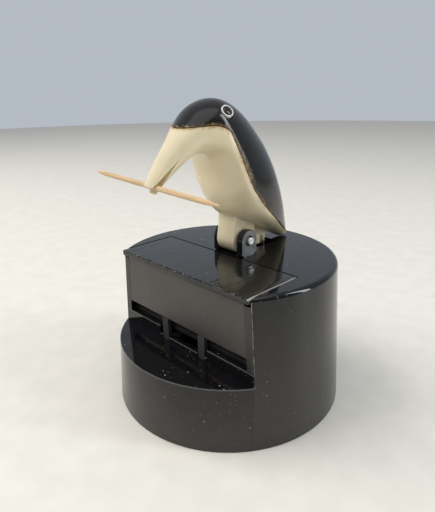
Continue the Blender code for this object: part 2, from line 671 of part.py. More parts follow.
# ---------------------------------------------------------------- feed mechanism
def hopper():
    slope = (FLOOR_REAR[1] - FLOOR_FRONT[1]) / (FLOOR_REAR[0] - FLOOR_FRONT[0])
    outer = HOPPER_HALF + HOPPER_WALL
    rear_low = FLOOR_REAR[1] - FLOOR_DROP
    front_low = FLOOR_FRONT[1] - FLOOR_DROP
    floor = [FLOOR_FRONT, FLOOR_REAR, (FLOOR_REAR[0], rear_low), (FLOOR_FRONT[0], front_low)]
    tray = side_plate("hopper", floor, -outer + 0.2 * MM, outer - 0.2 * MM, BLACK_INNER)
    side_low = FLOOR_FRONT[1] + (HOPPER_SIDE_FRONT - FLOOR_FRONT[0]) * slope - FLOOR_DROP
    side_rear = FLOOR_REAR[0] + HOPPER_WALL
    side = [
        (HOPPER_SIDE_FRONT, HOPPER_TOP_Z), (HOPPER_SIDE_FRONT, side_low), (FLOOR_REAR[0], rear_low),
        (side_rear, rear_low), (side_rear, HOPPER_TOP_Z),
    ]
    join(tray, side_plate("hopper_side_right", side, HOPPER_HALF, outer))
    join(tray, side_plate("hopper_side_left", side, -outer, -HOPPER_HALF))
    join(tray, box(
        "hopper_rear", (-outer + 0.1 * MM, FLOOR_REAR[0] - 0.1 * MM, rear_low + 0.1 * MM),
        (outer - 0.1 * MM, side_rear - 0.1 * MM, HOPPER_TOP_Z - 0.1 * MM),
    ))
    rib_front, rib_rear = ROCKER_Y - 4.0 * MM, ROCKER_Y + 5.0 * MM
    inside_floor = FLOOR_FRONT[1] - FLOOR_DROP / 2
    rib = [
        (rib_front, 29.0 * MM), (rib_rear - MM, 28.0 * MM),
        (rib_rear, inside_floor + (rib_rear - FLOOR_FRONT[0]) * slope),
        (rib_front, inside_floor + (rib_front - FLOOR_FRONT[0]) * slope),
    ]
    for at, label in ((-RIB_X, "left"), (RIB_X, "right")):
        join(tray, side_plate(f"shaft_rib_{label}", rib, at - RIB_HALF, at + RIB_HALF))
    for i, at in enumerate(HOPPER_SCREWS):
        flange_low = HOPPER_FLANGE_TOP - HOPPER_FLANGE_THICKNESS
        join(tray, box(
            f"hopper_flange_{i}",
            (at[0] - 3.5 * MM, -1.0 * MM, flange_low),
            (at[0] + 3.5 * MM, at[1] + 3.5 * MM, HOPPER_FLANGE_TOP),
        ))
        cut(tray, round_bar(f"flange_hole_{i}", (*at, 46 * MM), (*at, 51 * MM), SCREW_HOLE, steps=16))
    shaft_room = 1.3 * SHAFT_HALF
    cut(tray, round_bar(
        "bush_holes", (-shaft_room, ROCKER_Y, ROCKER_Z), (shaft_room, ROCKER_Y, ROCKER_Z), BUSH_RADIUS + GAP
    ))
    combine(tray, room_in_drum(), "INTERSECT")


def room_in_drum():
    """The room inside the drum's drafted wall, less the running gap."""
    low, high = 20.0 * MM, HOPPER_TOP_Z + MM
    inside_low = wall_radius(low) - WALL - GAP
    inside_high = wall_radius(high) - WALL - GAP
    profile = [(0.0, high), (inside_high, high), (inside_low, low), (0.0, low)]
    return turned("hopper_room", profile, (0, 0, 0), (0, 0, 1), steps=ROUND_STEPS)


def shaft_and_bushes():
    inner, flange, outer = RIB_X - 2.6 * MM, RIB_X - RIB_HALF - GAP, RIB_X + 1.8 * MM
    bore, flange_radius = SHAFT_RADIUS + GAP, BUSH_RADIUS + 0.9 * MM
    profile = [
        (bore, outer), (BUSH_RADIUS, outer), (BUSH_RADIUS, flange), (flange_radius, flange),
        (flange_radius, inner), (bore, inner), (bore, outer),
    ]
    for side, label in ((-1, "left"), (1, "right")):
        turned(f"shaft_bush_{label}", profile, (0, ROCKER_Y, ROCKER_Z), (side, 0, 0), WHITE)
    shaft = [(0.0, SHAFT_HALF), (SHAFT_RADIUS, SHAFT_HALF), (SHAFT_RADIUS, -SHAFT_HALF), (0.0, -SHAFT_HALF)]
    turned("rocker_shaft", shaft, (0, ROCKER_Y, ROCKER_Z), (1, 0, 0), STEEL, steps=16)


def feed_rocker():
    at = (ROCKER_Y, ROCKER_Z)
    hub = round_bar("feed_rocker", (-HUB_HALF, *at), (HUB_HALF, *at), HUB_RADIUS, CREAM)
    rear_arm = [
        (ROCKER_Y + 1.0 * MM, ROCKER_Z + 2.0 * MM), (ROCKER_Y - 1.0 * MM, ROCKER_Z - 2.2 * MM),
        (19.6 * MM, 17.8 * MM), (24.6 * MM, 17.6 * MM), (25.6 * MM, 20.4 * MM), (24.6 * MM, 23.0 * MM),
        (20.0 * MM, 23.2 * MM),
    ]
    join(hub, side_plate("rocker_rear_arm", rear_arm, -LEVER_HALF, LEVER_HALF))
    join(hub, round_bar(
        "spring_pad", (0, SPRING_Y, SPRING_PAD_TOP - 3.5 * MM), (0, SPRING_Y, SPRING_PAD_TOP),
        SPRING_PAD_RADIUS,
    ))
    front, rear = FINGER_Y
    finger = [
        (ROCKER_Y - 1.5 * MM, ROCKER_Z + MM), (-13.6 * MM, 26.2 * MM), (-20.6 * MM, 24.4 * MM),
        (rear, 26.0 * MM), (rear, FINGER_TOP_Z), (front + 0.4 * MM, FINGER_TOP_Z),
        (front, FINGER_TOP_Z - 0.4 * MM), (front, 22.8 * MM), (-23.4 * MM, 21.8 * MM),
        (-12.2 * MM, 23.2 * MM), (ROCKER_Y + 1.2 * MM, ROCKER_Z - 1.4 * MM),
    ]
    for x in (-FINGER_X, FINGER_X):
        join(hub, side_plate(f"gate_finger_{x:.3f}", finger, x - FINGER_WIDTH / 2, x + FINGER_WIDTH / 2))
    bore = round_bar(
        "rocker_bore", (-2 * HUB_HALF, *at), (2 * HUB_HALF, *at), SHAFT_RADIUS + GAP, steps=16
    )
    slot_centre = (LINK_FOOT[0] + 1.0 * MM, LINK_FOOT[1] + 0.4 * MM)
    run, rise = 0.65 * MM, 1.3 * MM
    slot = [
        *arc((slot_centre[0] + run, slot_centre[1]), rise, -90, 90, 7),
        *arc((slot_centre[0] - run, slot_centre[1]), rise, 90, 270, 7),
    ]
    cut(hub, bore, side_plate("link_slot_hole", slot, -5 * MM, 5 * MM))


def pull_link():
    """A bent wire: it hooks through the bird's lever above and through the rocker's slot below."""
    bend = 0.9 * MM
    (top_y, top_z), (foot_y, foot_z) = LINK_TOP, LINK_FOOT
    points = [Vector((-LINK_X - 0.8 * MM, top_y, top_z))]
    corners = [Vector((LINK_X, top_y, top_z)), Vector((LINK_X, foot_y, foot_z))]
    end = Vector((-LINK_X - 0.8 * MM, foot_y, foot_z))
    for i, corner in enumerate(corners):
        back = (points[0] if i == 0 else corners[0]) - corner
        ahead = (corners[1] if i == 0 else end) - corner
        start, stop = corner + back.normalized() * bend, corner + ahead.normalized() * bend
        for step in range(5):
            t = step / 4
            points.append(start * (1 - t) ** 2 + corner * 2 * t * (1 - t) + stop * t ** 2)
    points.append(end)
    wire("pull_link", points, WIRE_RADIUS, STEEL)


def return_spring():
    low, high = SPRING_PAD_TOP + 0.75 * MM, BRACKET_BASE[0] - 0.75 * MM
    steps = 14
    count = SPRING_TURNS * steps
    points = []
    for i in range(count + 1):
        a = 2 * math.pi * i / steps
        x, y = SPRING_RADIUS * math.cos(a), SPRING_Y + SPRING_RADIUS * math.sin(a)
        points.append((x, y, low + (high - low) * i / count))
    wire("return_spring", points, SPRING_WIRE, STEEL)


# ---------------------------------------------------------------- the whole object
drum_housing()
front_fascia()
hopper_lid()
bottom_cover()
screws()
hinge_bracket()
hinge_pin()
bird()
toothpick("beak_toothpick", (-1.2 * MM, BILL_GRIP[0] * BIRD_SCALE, BILL_GRIP[1] * BIRD_SCALE), 2.4)
hopper()
hopper_toothpicks()
shaft_and_bushes()
feed_rocker()
pull_link()
return_spring()
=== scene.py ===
"""Looks of the pecking-bird toothpick dispenser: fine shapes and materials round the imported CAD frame.

Metres, +Z up, the bird faces -Y. Every shown piece rides on a CAD body.
"""

import json
import math

import bmesh
import bpy
from mathutils import Matrix, Vector, noise


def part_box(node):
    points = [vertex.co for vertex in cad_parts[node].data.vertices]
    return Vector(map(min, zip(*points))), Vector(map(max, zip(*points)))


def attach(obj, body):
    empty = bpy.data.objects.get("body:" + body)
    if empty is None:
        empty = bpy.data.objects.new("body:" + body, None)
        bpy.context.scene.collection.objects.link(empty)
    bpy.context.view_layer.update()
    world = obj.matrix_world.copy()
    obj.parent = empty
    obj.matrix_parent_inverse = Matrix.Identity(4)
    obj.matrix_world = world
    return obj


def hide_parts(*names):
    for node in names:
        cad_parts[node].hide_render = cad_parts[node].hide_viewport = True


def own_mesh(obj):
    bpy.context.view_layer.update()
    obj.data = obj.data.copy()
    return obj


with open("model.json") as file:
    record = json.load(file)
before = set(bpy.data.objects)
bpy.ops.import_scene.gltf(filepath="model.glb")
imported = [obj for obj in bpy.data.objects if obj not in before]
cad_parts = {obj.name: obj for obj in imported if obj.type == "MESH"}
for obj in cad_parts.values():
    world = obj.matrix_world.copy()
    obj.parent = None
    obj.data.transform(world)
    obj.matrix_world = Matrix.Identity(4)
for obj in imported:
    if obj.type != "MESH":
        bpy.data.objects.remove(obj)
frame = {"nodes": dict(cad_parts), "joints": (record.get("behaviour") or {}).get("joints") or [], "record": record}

MM = 0.001
MIX_FACTOR, MIX_ONE, MIX_TWO = 0, 6, 7          # a Mix node's inputs for colours
MIX_COLOUR = 2                                  # and its output
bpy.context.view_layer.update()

# ---------------------------------------------------------------- places read from the frame
BASE_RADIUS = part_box("drum_housing")[1].x
BASE_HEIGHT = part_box("drum_housing")[1].z
FRONT_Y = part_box("front_fascia")[0].y
FASCIA_Z = (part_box("front_fascia")[0].z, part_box("front_fascia")[1].z)
LID_LOW, LID_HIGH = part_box("hopper_lid")
PIN_LOW, PIN_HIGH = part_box("hinge_pin")
JOINTS = {joint["name"]: joint for joint in frame["joints"]}
PIVOT = Vector(JOINTS["bird_tilt"]["pos_m"])
LINK_TOP = Vector(JOINTS["link_swing"]["pos_m"])


# ---------------------------------------------------------------- sizes that the CAD part has too
TOP_RADIUS = BASE_RADIUS * 0.937
WALL = 2.5 * MM
GAP = 0.3 * MM
TRAY_Z = 25.0 * MM
TRAY_THICK = 2.0 * MM
LIP_TOP_Z = 29.85 * MM
SILL_Z = 26.5 * MM
NOTCH_HALF = 13.8 * MM
FINGER_X = 10.5 * MM
FINGER_SLOT_HALF = 2.05 * MM
LINK_SLOT_HALF = 3.4 * MM
LINK_SLOT_Y = (10.0 * MM, 27.0 * MM)
FASCIA_THICK = 2.0 * MM
FLANGE_TOP = 49.7 * MM
SCREW_HOLE = 1.1 * MM
POST_RADIUS = 3.2 * MM
PLATE_POST_RADIUS = 2.6 * MM
PLATE_THICK = 2.0 * MM
EAR_X = (4.9 * MM, 7.8 * MM)
EAR_Y = (1.2 * MM, 8.0 * MM)
PIN_HOLE = 1.8 * MM
LINK_HOLE = 1.0 * MM
LEG_HALF = 4.55 * MM
LEG_LUG = 5.7 * MM
LEVER_HALF = 1.3 * MM
ROD_REACH = 20.0 * MM               # half length of a cutter that goes right through


# ---------------------------------------------------------------- camera, light and floor
CAMERA_AT = Vector((2.720, -2.726, 2.617)) * BASE_RADIUS
CAMERA_AZIMUTH = math.radians(46.19)
CAMERA_DOWN = math.radians(19.81)
CAMERA_ROLL = math.radians(-1.04)
WALL_DIRECTION = (-0.722, 0.692, 0.0)
CAMERA_LENS = 33.11                # mm, on a 36 mm sensor along the image's long side


def camera():
    data = bpy.data.cameras.new("camera")
    data.lens = CAMERA_LENS
    data.clip_start = 0.005
    made = bpy.data.objects.new("camera", data)
    bpy.context.scene.collection.objects.link(made)
    forward = Vector((
        -math.sin(CAMERA_AZIMUTH) * math.cos(CAMERA_DOWN),
        math.cos(CAMERA_AZIMUTH) * math.cos(CAMERA_DOWN),
        -math.sin(CAMERA_DOWN),
    ))
    right = forward.cross(Vector((0, 0, 1))).normalized()
    up = right.cross(forward)
    tilted_right = right * math.cos(CAMERA_ROLL) + up * math.sin(CAMERA_ROLL)
    tilted_up = up * math.cos(CAMERA_ROLL) - right * math.sin(CAMERA_ROLL)
    turn = Matrix((tilted_right, tilted_up, -forward)).transposed().to_4x4()
    made.matrix_world = Matrix.Translation(CAMERA_AT) @ turn
    bpy.context.scene.camera = made


def area_light(name, at, toward, size, power, colour=(1.0, 1.0, 1.0)):
    data = bpy.data.lights.new(name, "AREA")
    data.shape = "RECTANGLE"
    data.size, data.size_y = size
    data.energy = power
    data.color = colour
    made = bpy.data.objects.new(name, data)
    bpy.context.scene.collection.objects.link(made)
    away = (Vector(at) - Vector(toward)).normalized()
    made.matrix_world = Matrix.Translation(at) @ away.to_track_quat("Z", "Y").to_matrix().to_4x4()
    return made


def polar(azimuth, elevation, distance):
    """A place round the object: azimuth from +X toward +Y and elevation, in degrees."""
    turn, rise = math.radians(azimuth), math.radians(elevation)
    level = distance * math.cos(rise)
    return (level * math.cos(turn), level * math.sin(turn), distance * math.sin(rise))


def studio():
    """Two windows, a ceiling light, a grey room that is lighter on the wall side, and a pale table."""
    target = (0.0, 0.0, 0.06)
    key = area_light(
        "window_left", polar(-140, 52, 1.05), target,
        size=(0.85, 0.70), power=7.5, colour=(1.0, 0.975, 0.94),
    )
    key.visible_glossy = False
    area_light(
        "window_right", polar(34, 28, 0.95), target,
        size=(0.17, 0.80), power=3.6, colour=(0.93, 0.97, 1.0),
    )
    area_light(
        "ceiling", (0.24, -0.27, 1.10), target,
        size=(1.20, 1.20), power=3.6, colour=(1.0, 0.98, 0.95),
    )

    world = bpy.data.worlds.new("studio")
    bpy.context.scene.world = world
    world.use_nodes = True
    tree = world.node_tree
    background = tree.nodes["Background"]
    place = tree.nodes.new("ShaderNodeTexCoord")
    toward_wall = tree.nodes.new("ShaderNodeVectorMath")
    toward_wall.operation = "DOT_PRODUCT"
    toward_wall.inputs[1].default_value = WALL_DIRECTION
    tree.links.new(place.outputs["Generated"], toward_wall.inputs[0])
    ramp = tree.nodes.new("ShaderNodeValToRGB")
    to_share = tree.nodes.new("ShaderNodeMapRange")
    to_share.inputs["From Min"].default_value = -1.0
    tree.links.new(toward_wall.outputs["Value"], to_share.inputs["Value"])
    tree.links.new(to_share.outputs[0], ramp.inputs["Fac"])
    stops = ramp.color_ramp.elements
    stops[0].position, stops[0].color = 0.20, (0.11, 0.11, 0.12, 1.0)
    stops[1].position, stops[1].color = 0.85, (0.46, 0.50, 0.55, 1.0)
    middle = stops.new(0.50)
    middle.color = (0.25, 0.26, 0.28, 1.0)
    split = tree.nodes.new("ShaderNodeSeparateXYZ")
    tree.links.new(place.outputs["Generated"], split.inputs[0])
    overhead = tree.nodes.new("ShaderNodeMapRange")
    overhead.inputs["From Min"].default_value = 0.35
    overhead.inputs["From Max"].default_value = 0.85
    tree.links.new(split.outputs["Z"], overhead.inputs["Value"])
    room = tree.nodes.new("ShaderNodeMix")
    room.data_type = "RGBA"
    room.inputs[MIX_TWO].default_value = (0.40, 0.42, 0.45, 1.0)
    tree.links.new(overhead.outputs[0], room.inputs[MIX_FACTOR])
    tree.links.new(ramp.outputs["Color"], room.inputs[MIX_ONE])
    tree.links.new(room.outputs[MIX_COLOUR], background.inputs["Color"])

    bm = bmesh.new()
    bmesh.ops.create_circle(bm, cap_ends=True, segments=96, radius=1.6)
    mesh = bpy.data.meshes.new("floor")
    bm.to_mesh(mesh)
    bm.free()
    floor = bpy.data.objects.new("floor", mesh)
    bpy.context.scene.collection.objects.link(floor)
    look = Look("pale_table", (0.80, 0.77, 0.70), 0.55)
    grain = look.noise(90.0, detail=5.0)
    look.tint(look.spread(grain, 0.96, 1.03))
    look.bump(look.noise(900.0, detail=3.0), 0.08, 0.05 * MM)
    floor.data.materials.append(look.made)


# ---------------------------------------------------------------- materials
class Look:
    """A Principled material, with short calls for the textures that colour, roughen and bump it."""

    def __init__(self, name, colour, roughness, metallic=0.0):
        self.made = bpy.data.materials.new(name)
        self.made.use_nodes = True
        self.tree = self.made.node_tree
        self.shader = self.tree.nodes["Principled BSDF"]
        self.shader.inputs["Base Color"].default_value = (*colour, 1.0)
        self.shader.inputs["Roughness"].default_value = roughness
        self.shader.inputs["Metallic"].default_value = metallic
        self.place = self.tree.nodes.new("ShaderNodeTexCoord").outputs["Object"]
        self.colour = (*colour, 1.0)
        self.roughness = roughness
        self.height = None

    def new(self, kind, **values):
        node = self.tree.nodes.new(kind)
        for name, value in values.items():
            setattr(node, name, value)
        return node

    def stretched(self, scale, turn=(0.0, 0.0, 0.0)):
        """Object coordinates, scaled along each axis and then turned."""
        node = self.new("ShaderNodeMapping")
        node.inputs["Rotation"].default_value = turn
        node.inputs["Scale"].default_value = scale
        self.tree.links.new(self.place, node.inputs["Vector"])
        return node.outputs[0]

    def noise(self, scale, detail=2.0, rough=0.5, place=None):
        node = self.new("ShaderNodeTexNoise")
        node.inputs["Scale"].default_value = scale
        node.inputs["Detail"].default_value = detail
        node.inputs["Roughness"].default_value = rough
        self.tree.links.new(place or self.place, node.inputs["Vector"])
        return node.outputs["Fac"]

    def cells(self, scale, feature="F1", place=None):
        node = self.new("ShaderNodeTexVoronoi", feature=feature)
        node.inputs["Scale"].default_value = scale
        self.tree.links.new(place or self.place, node.inputs["Vector"])
        return node

    def ranged(self, value, low, high, to_low, to_high):
        node = self.new("ShaderNodeMapRange")
        for key, number in (("From Min", low), ("From Max", high), ("To Min", to_low), ("To Max", to_high)):
            node.inputs[key].default_value = number
        self.tree.links.new(value, node.inputs["Value"])
        return node.outputs[0]

    def spread(self, texture, to_low=0.0, to_high=1.0):
        """The range where nearly all of a noise lies, mapped to another range."""
        return self.ranged(texture, 0.3, 0.7, to_low, to_high)

    def maths(self, operation, one, two):
        node = self.new("ShaderNodeMath", operation=operation)
        for socket, value in zip(node.inputs, (one, two)):
            if isinstance(value, (int, float)):
                socket.default_value = value
            else:
                self.tree.links.new(value, socket)
        return node.outputs[0]

    def attribute(self, name):
        return self.new("ShaderNodeAttribute", attribute_name=name).outputs["Fac"]

    def along(self, axis):
        node = self.new("ShaderNodeSeparateXYZ")
        self.tree.links.new(self.place, node.inputs[0])
        return node.outputs[axis]

    def from_axis(self):
        """The distance from the upright middle line."""
        level = self.new("ShaderNodeVectorMath", operation="MULTIPLY")
        level.inputs[1].default_value = (1.0, 1.0, 0.0)
        self.tree.links.new(self.place, level.inputs[0])
        length = self.new("ShaderNodeVectorMath", operation="LENGTH")
        self.tree.links.new(level.outputs[0], length.inputs[0])
        return length.outputs["Value"]

    def band(self, axis, start, end, fade=0.05 * MM):
        """A mask that is 1 between two places along one axis."""
        here = self.along(axis)
        rise = self.ranged(here, start - fade, start + fade, 0.0, 1.0)
        fall = self.ranged(here, end - fade, end + fade, 1.0, 0.0)
        return self.maths("MULTIPLY", rise, fall)

    def _mixed(self, factor, one, two, blend="MIX"):
        node = self.new("ShaderNodeMix", data_type="RGBA", blend_type=blend)
        for place, value in ((MIX_FACTOR, factor), (MIX_ONE, one), (MIX_TWO, two)):
            socket = node.inputs[place]
            if isinstance(value, (int, float, tuple)):
                socket.default_value = value
            else:
                self.tree.links.new(value, socket)
        return node.outputs[MIX_COLOUR]

    def _set_colour(self, output):
        self.colour = output
        self.tree.links.new(output, self.shader.inputs["Base Color"])

    def tint(self, factor):
        """Multiplies the colour by a grey factor."""
        grey = self.new("ShaderNodeCombineColor")
        for socket in grey.inputs[:3]:
            self.tree.links.new(factor, socket)
        self._set_colour(self._mixed(1.0, self.colour, grey.outputs[0], "MULTIPLY"))

    def paint(self, factor, colour):
        """Lays another colour over the first where factor is 1."""
        self._set_colour(self._mixed(factor, self.colour, (*colour, 1.0)))

    def roughen(self, factor, amount):
        """Adds amount times factor to the roughness."""
        self.roughness = self.maths("ADD", self.roughness, self.maths("MULTIPLY", factor, amount))
        self.tree.links.new(self.roughness, self.shader.inputs["Roughness"])

    def bump(self, height, strength, distance):
        node = self.new("ShaderNodeBump")
        node.inputs["Strength"].default_value = strength
        node.inputs["Distance"].default_value = distance
        self.tree.links.new(height, node.inputs["Height"])
        if self.height is not None:
            self.tree.links.new(self.height, node.inputs["Normal"])
        self.height = node.outputs[0]
        self.tree.links.new(self.height, self.shader.inputs["Normal"])

    def specks(self, scale, radius, rarity):
        """A mask of small round spots: radius is in cells, and rarity from 0 (all cells) to 1 (none)."""
        spots = self.cells(scale)
        near = self.ranged(spots.outputs["Distance"], radius * 0.6, radius, 1.0, 0.0)
        pick = self.new("ShaderNodeSeparateColor")
        self.tree.links.new(spots.outputs["Color"], pick.inputs[0])
        return self.maths("MULTIPLY", near, self.maths("GREATER_THAN", pick.outputs[0], rarity))

    def scratches(self, scale, width, turn, rarity):
        """A mask of fine straight hairlines that run along one turned direction."""
        lines = self.cells(1.0, "DISTANCE_TO_EDGE", self.stretched((scale, scale * 0.04, scale), turn))
        thin = self.ranged(lines.outputs["Distance"], 0.0, width, 1.0, 0.0)
        patch = self.ranged(self.noise(70.0), rarity, rarity + 0.08, 0.0, 1.0)
        return self.maths("MULTIPLY", thin, patch)


DUST = (0.42, 0.41, 0.39)
RUBBED = (0.34, 0.33, 0.31)


def gloss_black(name, colour=(0.005, 0.005, 0.006), roughness=0.10, dust=0.84, wear=0.0):
    """Polished black plastic: long soft waves, hairline scratches, clustered dust and rubbed edges."""
    look = Look(name, colour, roughness)
    look.shader.inputs["IOR"].default_value = 1.50
    look.roughen(look.ranged(look.noise(45.0, detail=4.0), 0.40, 0.75, 0.0, 1.0), 0.06)
    dusty = look.ranged(look.noise(32.0, detail=2.0), 0.38, 0.66, 0.15, 1.0)
    for scale, radius, rarity, strength in ((430.0, 0.15, dust, 0.95), (900.0, 0.18, dust, 0.70)):
        speck = look.maths("MULTIPLY", look.specks(scale, radius, rarity), dusty)
        look.paint(look.maths("MULTIPLY", speck, strength), DUST)
    for turn in ((0.3, 0.2, 0.5), (1.1, -0.4, 2.0)):
        line = look.scratches(700.0, 0.016, turn, 0.58)
        look.paint(look.maths("MULTIPLY", line, 0.03), (0.5, 0.5, 0.5))
        look.roughen(line, 0.10)
    if wear:
        rubbed = look.maths(
            "MULTIPLY", look.attribute("wear"),
            look.ranged(look.noise(620.0, detail=4.0, rough=0.65), 0.56, 0.68, 0.0, wear),
        )
        look.paint(rubbed, RUBBED)
        look.roughen(rubbed, 0.25)
    look.bump(look.noise(30.0, detail=1.0), 0.20, 0.06 * MM)
    look.bump(look.noise(2400.0, detail=2.0), 0.08, 0.008 * MM)
    return look


def satin_finish(look, mask):
    """Fine even grain of the front wall: greyer and matt where mask is 1."""
    grain = look.spread(look.noise(260.0, detail=5.0, rough=0.6))
    tone = look.maths("MULTIPLY", mask, look.ranged(grain, 0.0, 1.0, 0.80, 1.0))
    look.paint(tone, (0.030, 0.028, 0.025))
    look.roughen(mask, 0.26)


def edge_highlight_band(look, height):
    """A thin band along an edge at one height, where a pale line is painted as a highlight."""
    return look.band("Z", height - 0.35 * MM, height + 0.10 * MM)


def drum_plastic():
    """The case: glossy, satin on the front wall, with a painted highlight, partly rubbed wear, down the front's
    right-hand edge, and painted highlight lines along the tray's rim and the lip's edges.
    """
    look = gloss_black("drum_plastic", roughness=0.05, dust=0.80, wear=0.12)
    look.roughen(look.attribute("outer_wall"), 0.22)
    look.paint(look.maths("MULTIPLY", look.attribute("outer_wall"), 0.8), (0.042, 0.039, 0.035))
    above_lip = look.band("Z", LIP_TOP_Z + GAP, BASE_HEIGHT - MM)
    front = look.maths("MULTIPLY", look.band("Y", FRONT_Y - GAP, FRONT_Y + 0.06 * MM, 0.03 * MM), above_lip)
    satin_finish(look, front)
    # Painted highlight, partly rubbed wear: a broken pale line down the rounded right-hand edge of the front wall.
    broken = look.ranged(look.noise(330.0, detail=4.0, rough=0.7), 0.40, 0.60, 0.0, 0.8)
    right_end = look.band("X", 34.0 * MM, 2 * BASE_RADIUS)
    rounding = look.band("Y", FRONT_Y + 0.10 * MM, FRONT_Y + 0.35 * MM, 0.03 * MM)
    corner = look.maths("MULTIPLY", right_end, rounding)
    line = look.maths("MULTIPLY", look.maths("MULTIPLY", corner, above_lip), broken)
    look.paint(line, (0.30, 0.29, 0.27))
    # Painted highlights: thin pale lines along the tray's front rim and along the sill's and the lip's top edges.
    outermost = look.maths("GREATER_THAN", look.from_axis(), wall_radius(TRAY_Z) - 0.34 * MM)
    rim = look.maths("MULTIPLY", edge_highlight_band(look, TRAY_Z), outermost)
    rim = look.maths("MULTIPLY", rim, look.band("Y", -2 * BASE_RADIUS, FRONT_Y))
    sill_highlight = look.maths("MULTIPLY", edge_highlight_band(look, SILL_Z), look.band("X", -NOTCH_HALF, NOTCH_HALF))
    lip_top_highlight = edge_highlight_band(look, LIP_TOP_Z)
    lip_edge_highlights = look.maths(
        "MULTIPLY", look.maths("MAXIMUM", sill_highlight, lip_top_highlight), look.band("Y", FRONT_Y - GAP, FRONT_Y + 0.34 * MM)
    )
    look.paint(look.maths("MULTIPLY", look.maths("MAXIMUM", rim, lip_edge_highlights), 0.75), (0.12, 0.12, 0.115))
    return look.made


def lid_plastic():
    """The lid: polished like the case, chipped pale along its front edge and rubbed at its right end."""
    look = gloss_black("lid_plastic", (0.010, 0.010, 0.010), 0.09, dust=0.90)
    front_edge = look.band("Y", LID_LOW.y - MM, LID_LOW.y + 0.50 * MM, 0.12 * MM)
    upper = look.band("Z", LID_HIGH.z - 0.70 * MM, LID_HIGH.z + MM)
    chips = look.maths(
        "MULTIPLY", look.maths("MULTIPLY", front_edge, upper),
        look.ranged(look.noise(1300.0, detail=5.0, rough=0.8), 0.55, 0.66, 0.0, 0.8),
    )
    look.paint(chips, (0.50, 0.47, 0.42))
    look.roughen(chips, 0.35)
    rubbed = look.maths(
        "MULTIPLY", look.maths("MULTIPLY", look.band("X", LID_HIGH.x - 0.40 * MM, LID_HIGH.x + MM), upper),
        look.ranged(look.noise(300.0, detail=4.0, rough=0.7), 0.30, 0.48, 0.25, 1.0),
    )
    look.paint(rubbed, RUBBED)
    look.roughen(rubbed, 0.25)
    return look.made


def fascia_plastic():
    """Satin panel behind the tray: even grain, a few specks and hairlines."""
    look = Look("fascia_plastic", (0.056, 0.052, 0.046), 0.34)
    look.tint(look.spread(look.noise(60.0, detail=5.0, rough=0.6), 0.84, 1.18))
    look.tint(look.spread(look.noise(700.0, detail=3.0), 0.90, 1.08))
    look.roughen(look.spread(look.noise(160.0, detail=3.0), -1.0, 1.0), 0.05)
    look.paint(look.maths("MULTIPLY", look.specks(520.0, 0.13, 0.92), 0.35), (0.40, 0.39, 0.36))
    line = look.scratches(520.0, 0.018, (0.2, 0.1, 1.2), 0.52)
    look.paint(look.maths("MULTIPLY", line, 0.04), (0.45, 0.44, 0.42))
    look.bump(look.noise(1500.0, detail=3.0), 0.16, 0.03 * MM)
    return look.made


def inner_black(name):
    """Plain black plastic of the parts inside the case."""
    look = Look(name, (0.012, 0.012, 0.012), 0.48)
    look.tint(look.spread(look.noise(140.0, detail=4.0), 0.7, 1.3))
    look.roughen(look.spread(look.noise(600.0)), 0.12)
    look.bump(look.noise(900.0, detail=3.0), 0.20, 0.04 * MM)
    return look.made


def cream_plastic():
    """Aged cream plastic: translucent, yellowed in patches, soiled specks, brown along the joint line."""
    look = Look("bird_cream", (0.86, 0.76, 0.53), 0.20)
    look.shader.inputs["Subsurface Weight"].default_value = 0.25
    look.shader.inputs["Subsurface Radius"].default_value = (1.0, 0.72, 0.40)
    look.shader.inputs["Subsurface Scale"].default_value = 1.2 * MM
    look.tint(look.spread(look.noise(55.0, detail=4.0), 0.94, 1.03))
    look.paint(look.ranged(look.noise(26.0, detail=3.0), 0.48, 0.75, 0.0, 0.30), (0.80, 0.62, 0.34))
    look.paint(look.maths("MULTIPLY", look.specks(380.0, 0.09, 0.95), 0.5), (0.30, 0.22, 0.13))
    edge = look.attribute("seam")
    broken = look.ranged(look.noise(640.0, detail=4.0, rough=0.7), 0.40, 0.58, 0.30, 1.0)
    look.paint(look.maths("MULTIPLY", edge, broken), (0.42, 0.23, 0.06))
    look.roughen(edge, 0.25)
    look.roughen(look.ranged(look.noise(90.0, detail=3.0), 0.35, 0.7, 0.0, 1.0), 0.08)
    look.bump(look.noise(60.0, detail=1.0), 0.22, 0.08 * MM)
    look.bump(look.noise(1700.0, detail=2.0), 0.08, 0.012 * MM)
    return look.made


def rocker_plastic():
    """Grey moulded plastic of the gate fingers, with a faint flow pattern."""
    look = Look("rocker_plastic", (0.050, 0.053, 0.058), 0.26)
    look.tint(look.spread(look.noise(180.0, detail=4.0), 0.80, 1.2))
    look.roughen(look.spread(look.noise(500.0)), 0.12)
    look.bump(look.noise(1300.0, detail=2.0), 0.15, 0.02 * MM)
    return look.made


def white_enamel(name):
    """Slightly uneven white of the eye rings and the shaft bushes."""
    look = Look(name, (0.93, 0.92, 0.88), 0.28)
    look.tint(look.spread(look.noise(700.0, detail=3.0), 0.88, 1.04))
    look.bump(look.noise(1400.0, detail=2.0), 0.2, 0.02 * MM)
    return look.made


def steel(name, colour=(0.74, 0.73, 0.71), roughness=0.20):
    """Bright plated wire and pins: fine lines across X and a little tarnish."""
    look = Look(name, colour, roughness, 1.0)
    drawn = look.noise(1.0, detail=3.0, place=look.stretched((2600.0, 130.0, 130.0)))
    look.roughen(look.spread(drawn), 0.16)
    look.paint(look.ranged(look.noise(420.0, detail=4.0), 0.58, 0.78, 0.0, 0.45), (0.34, 0.27, 0.20))
    look.bump(drawn, 0.12, 0.01 * MM)
    return look.made


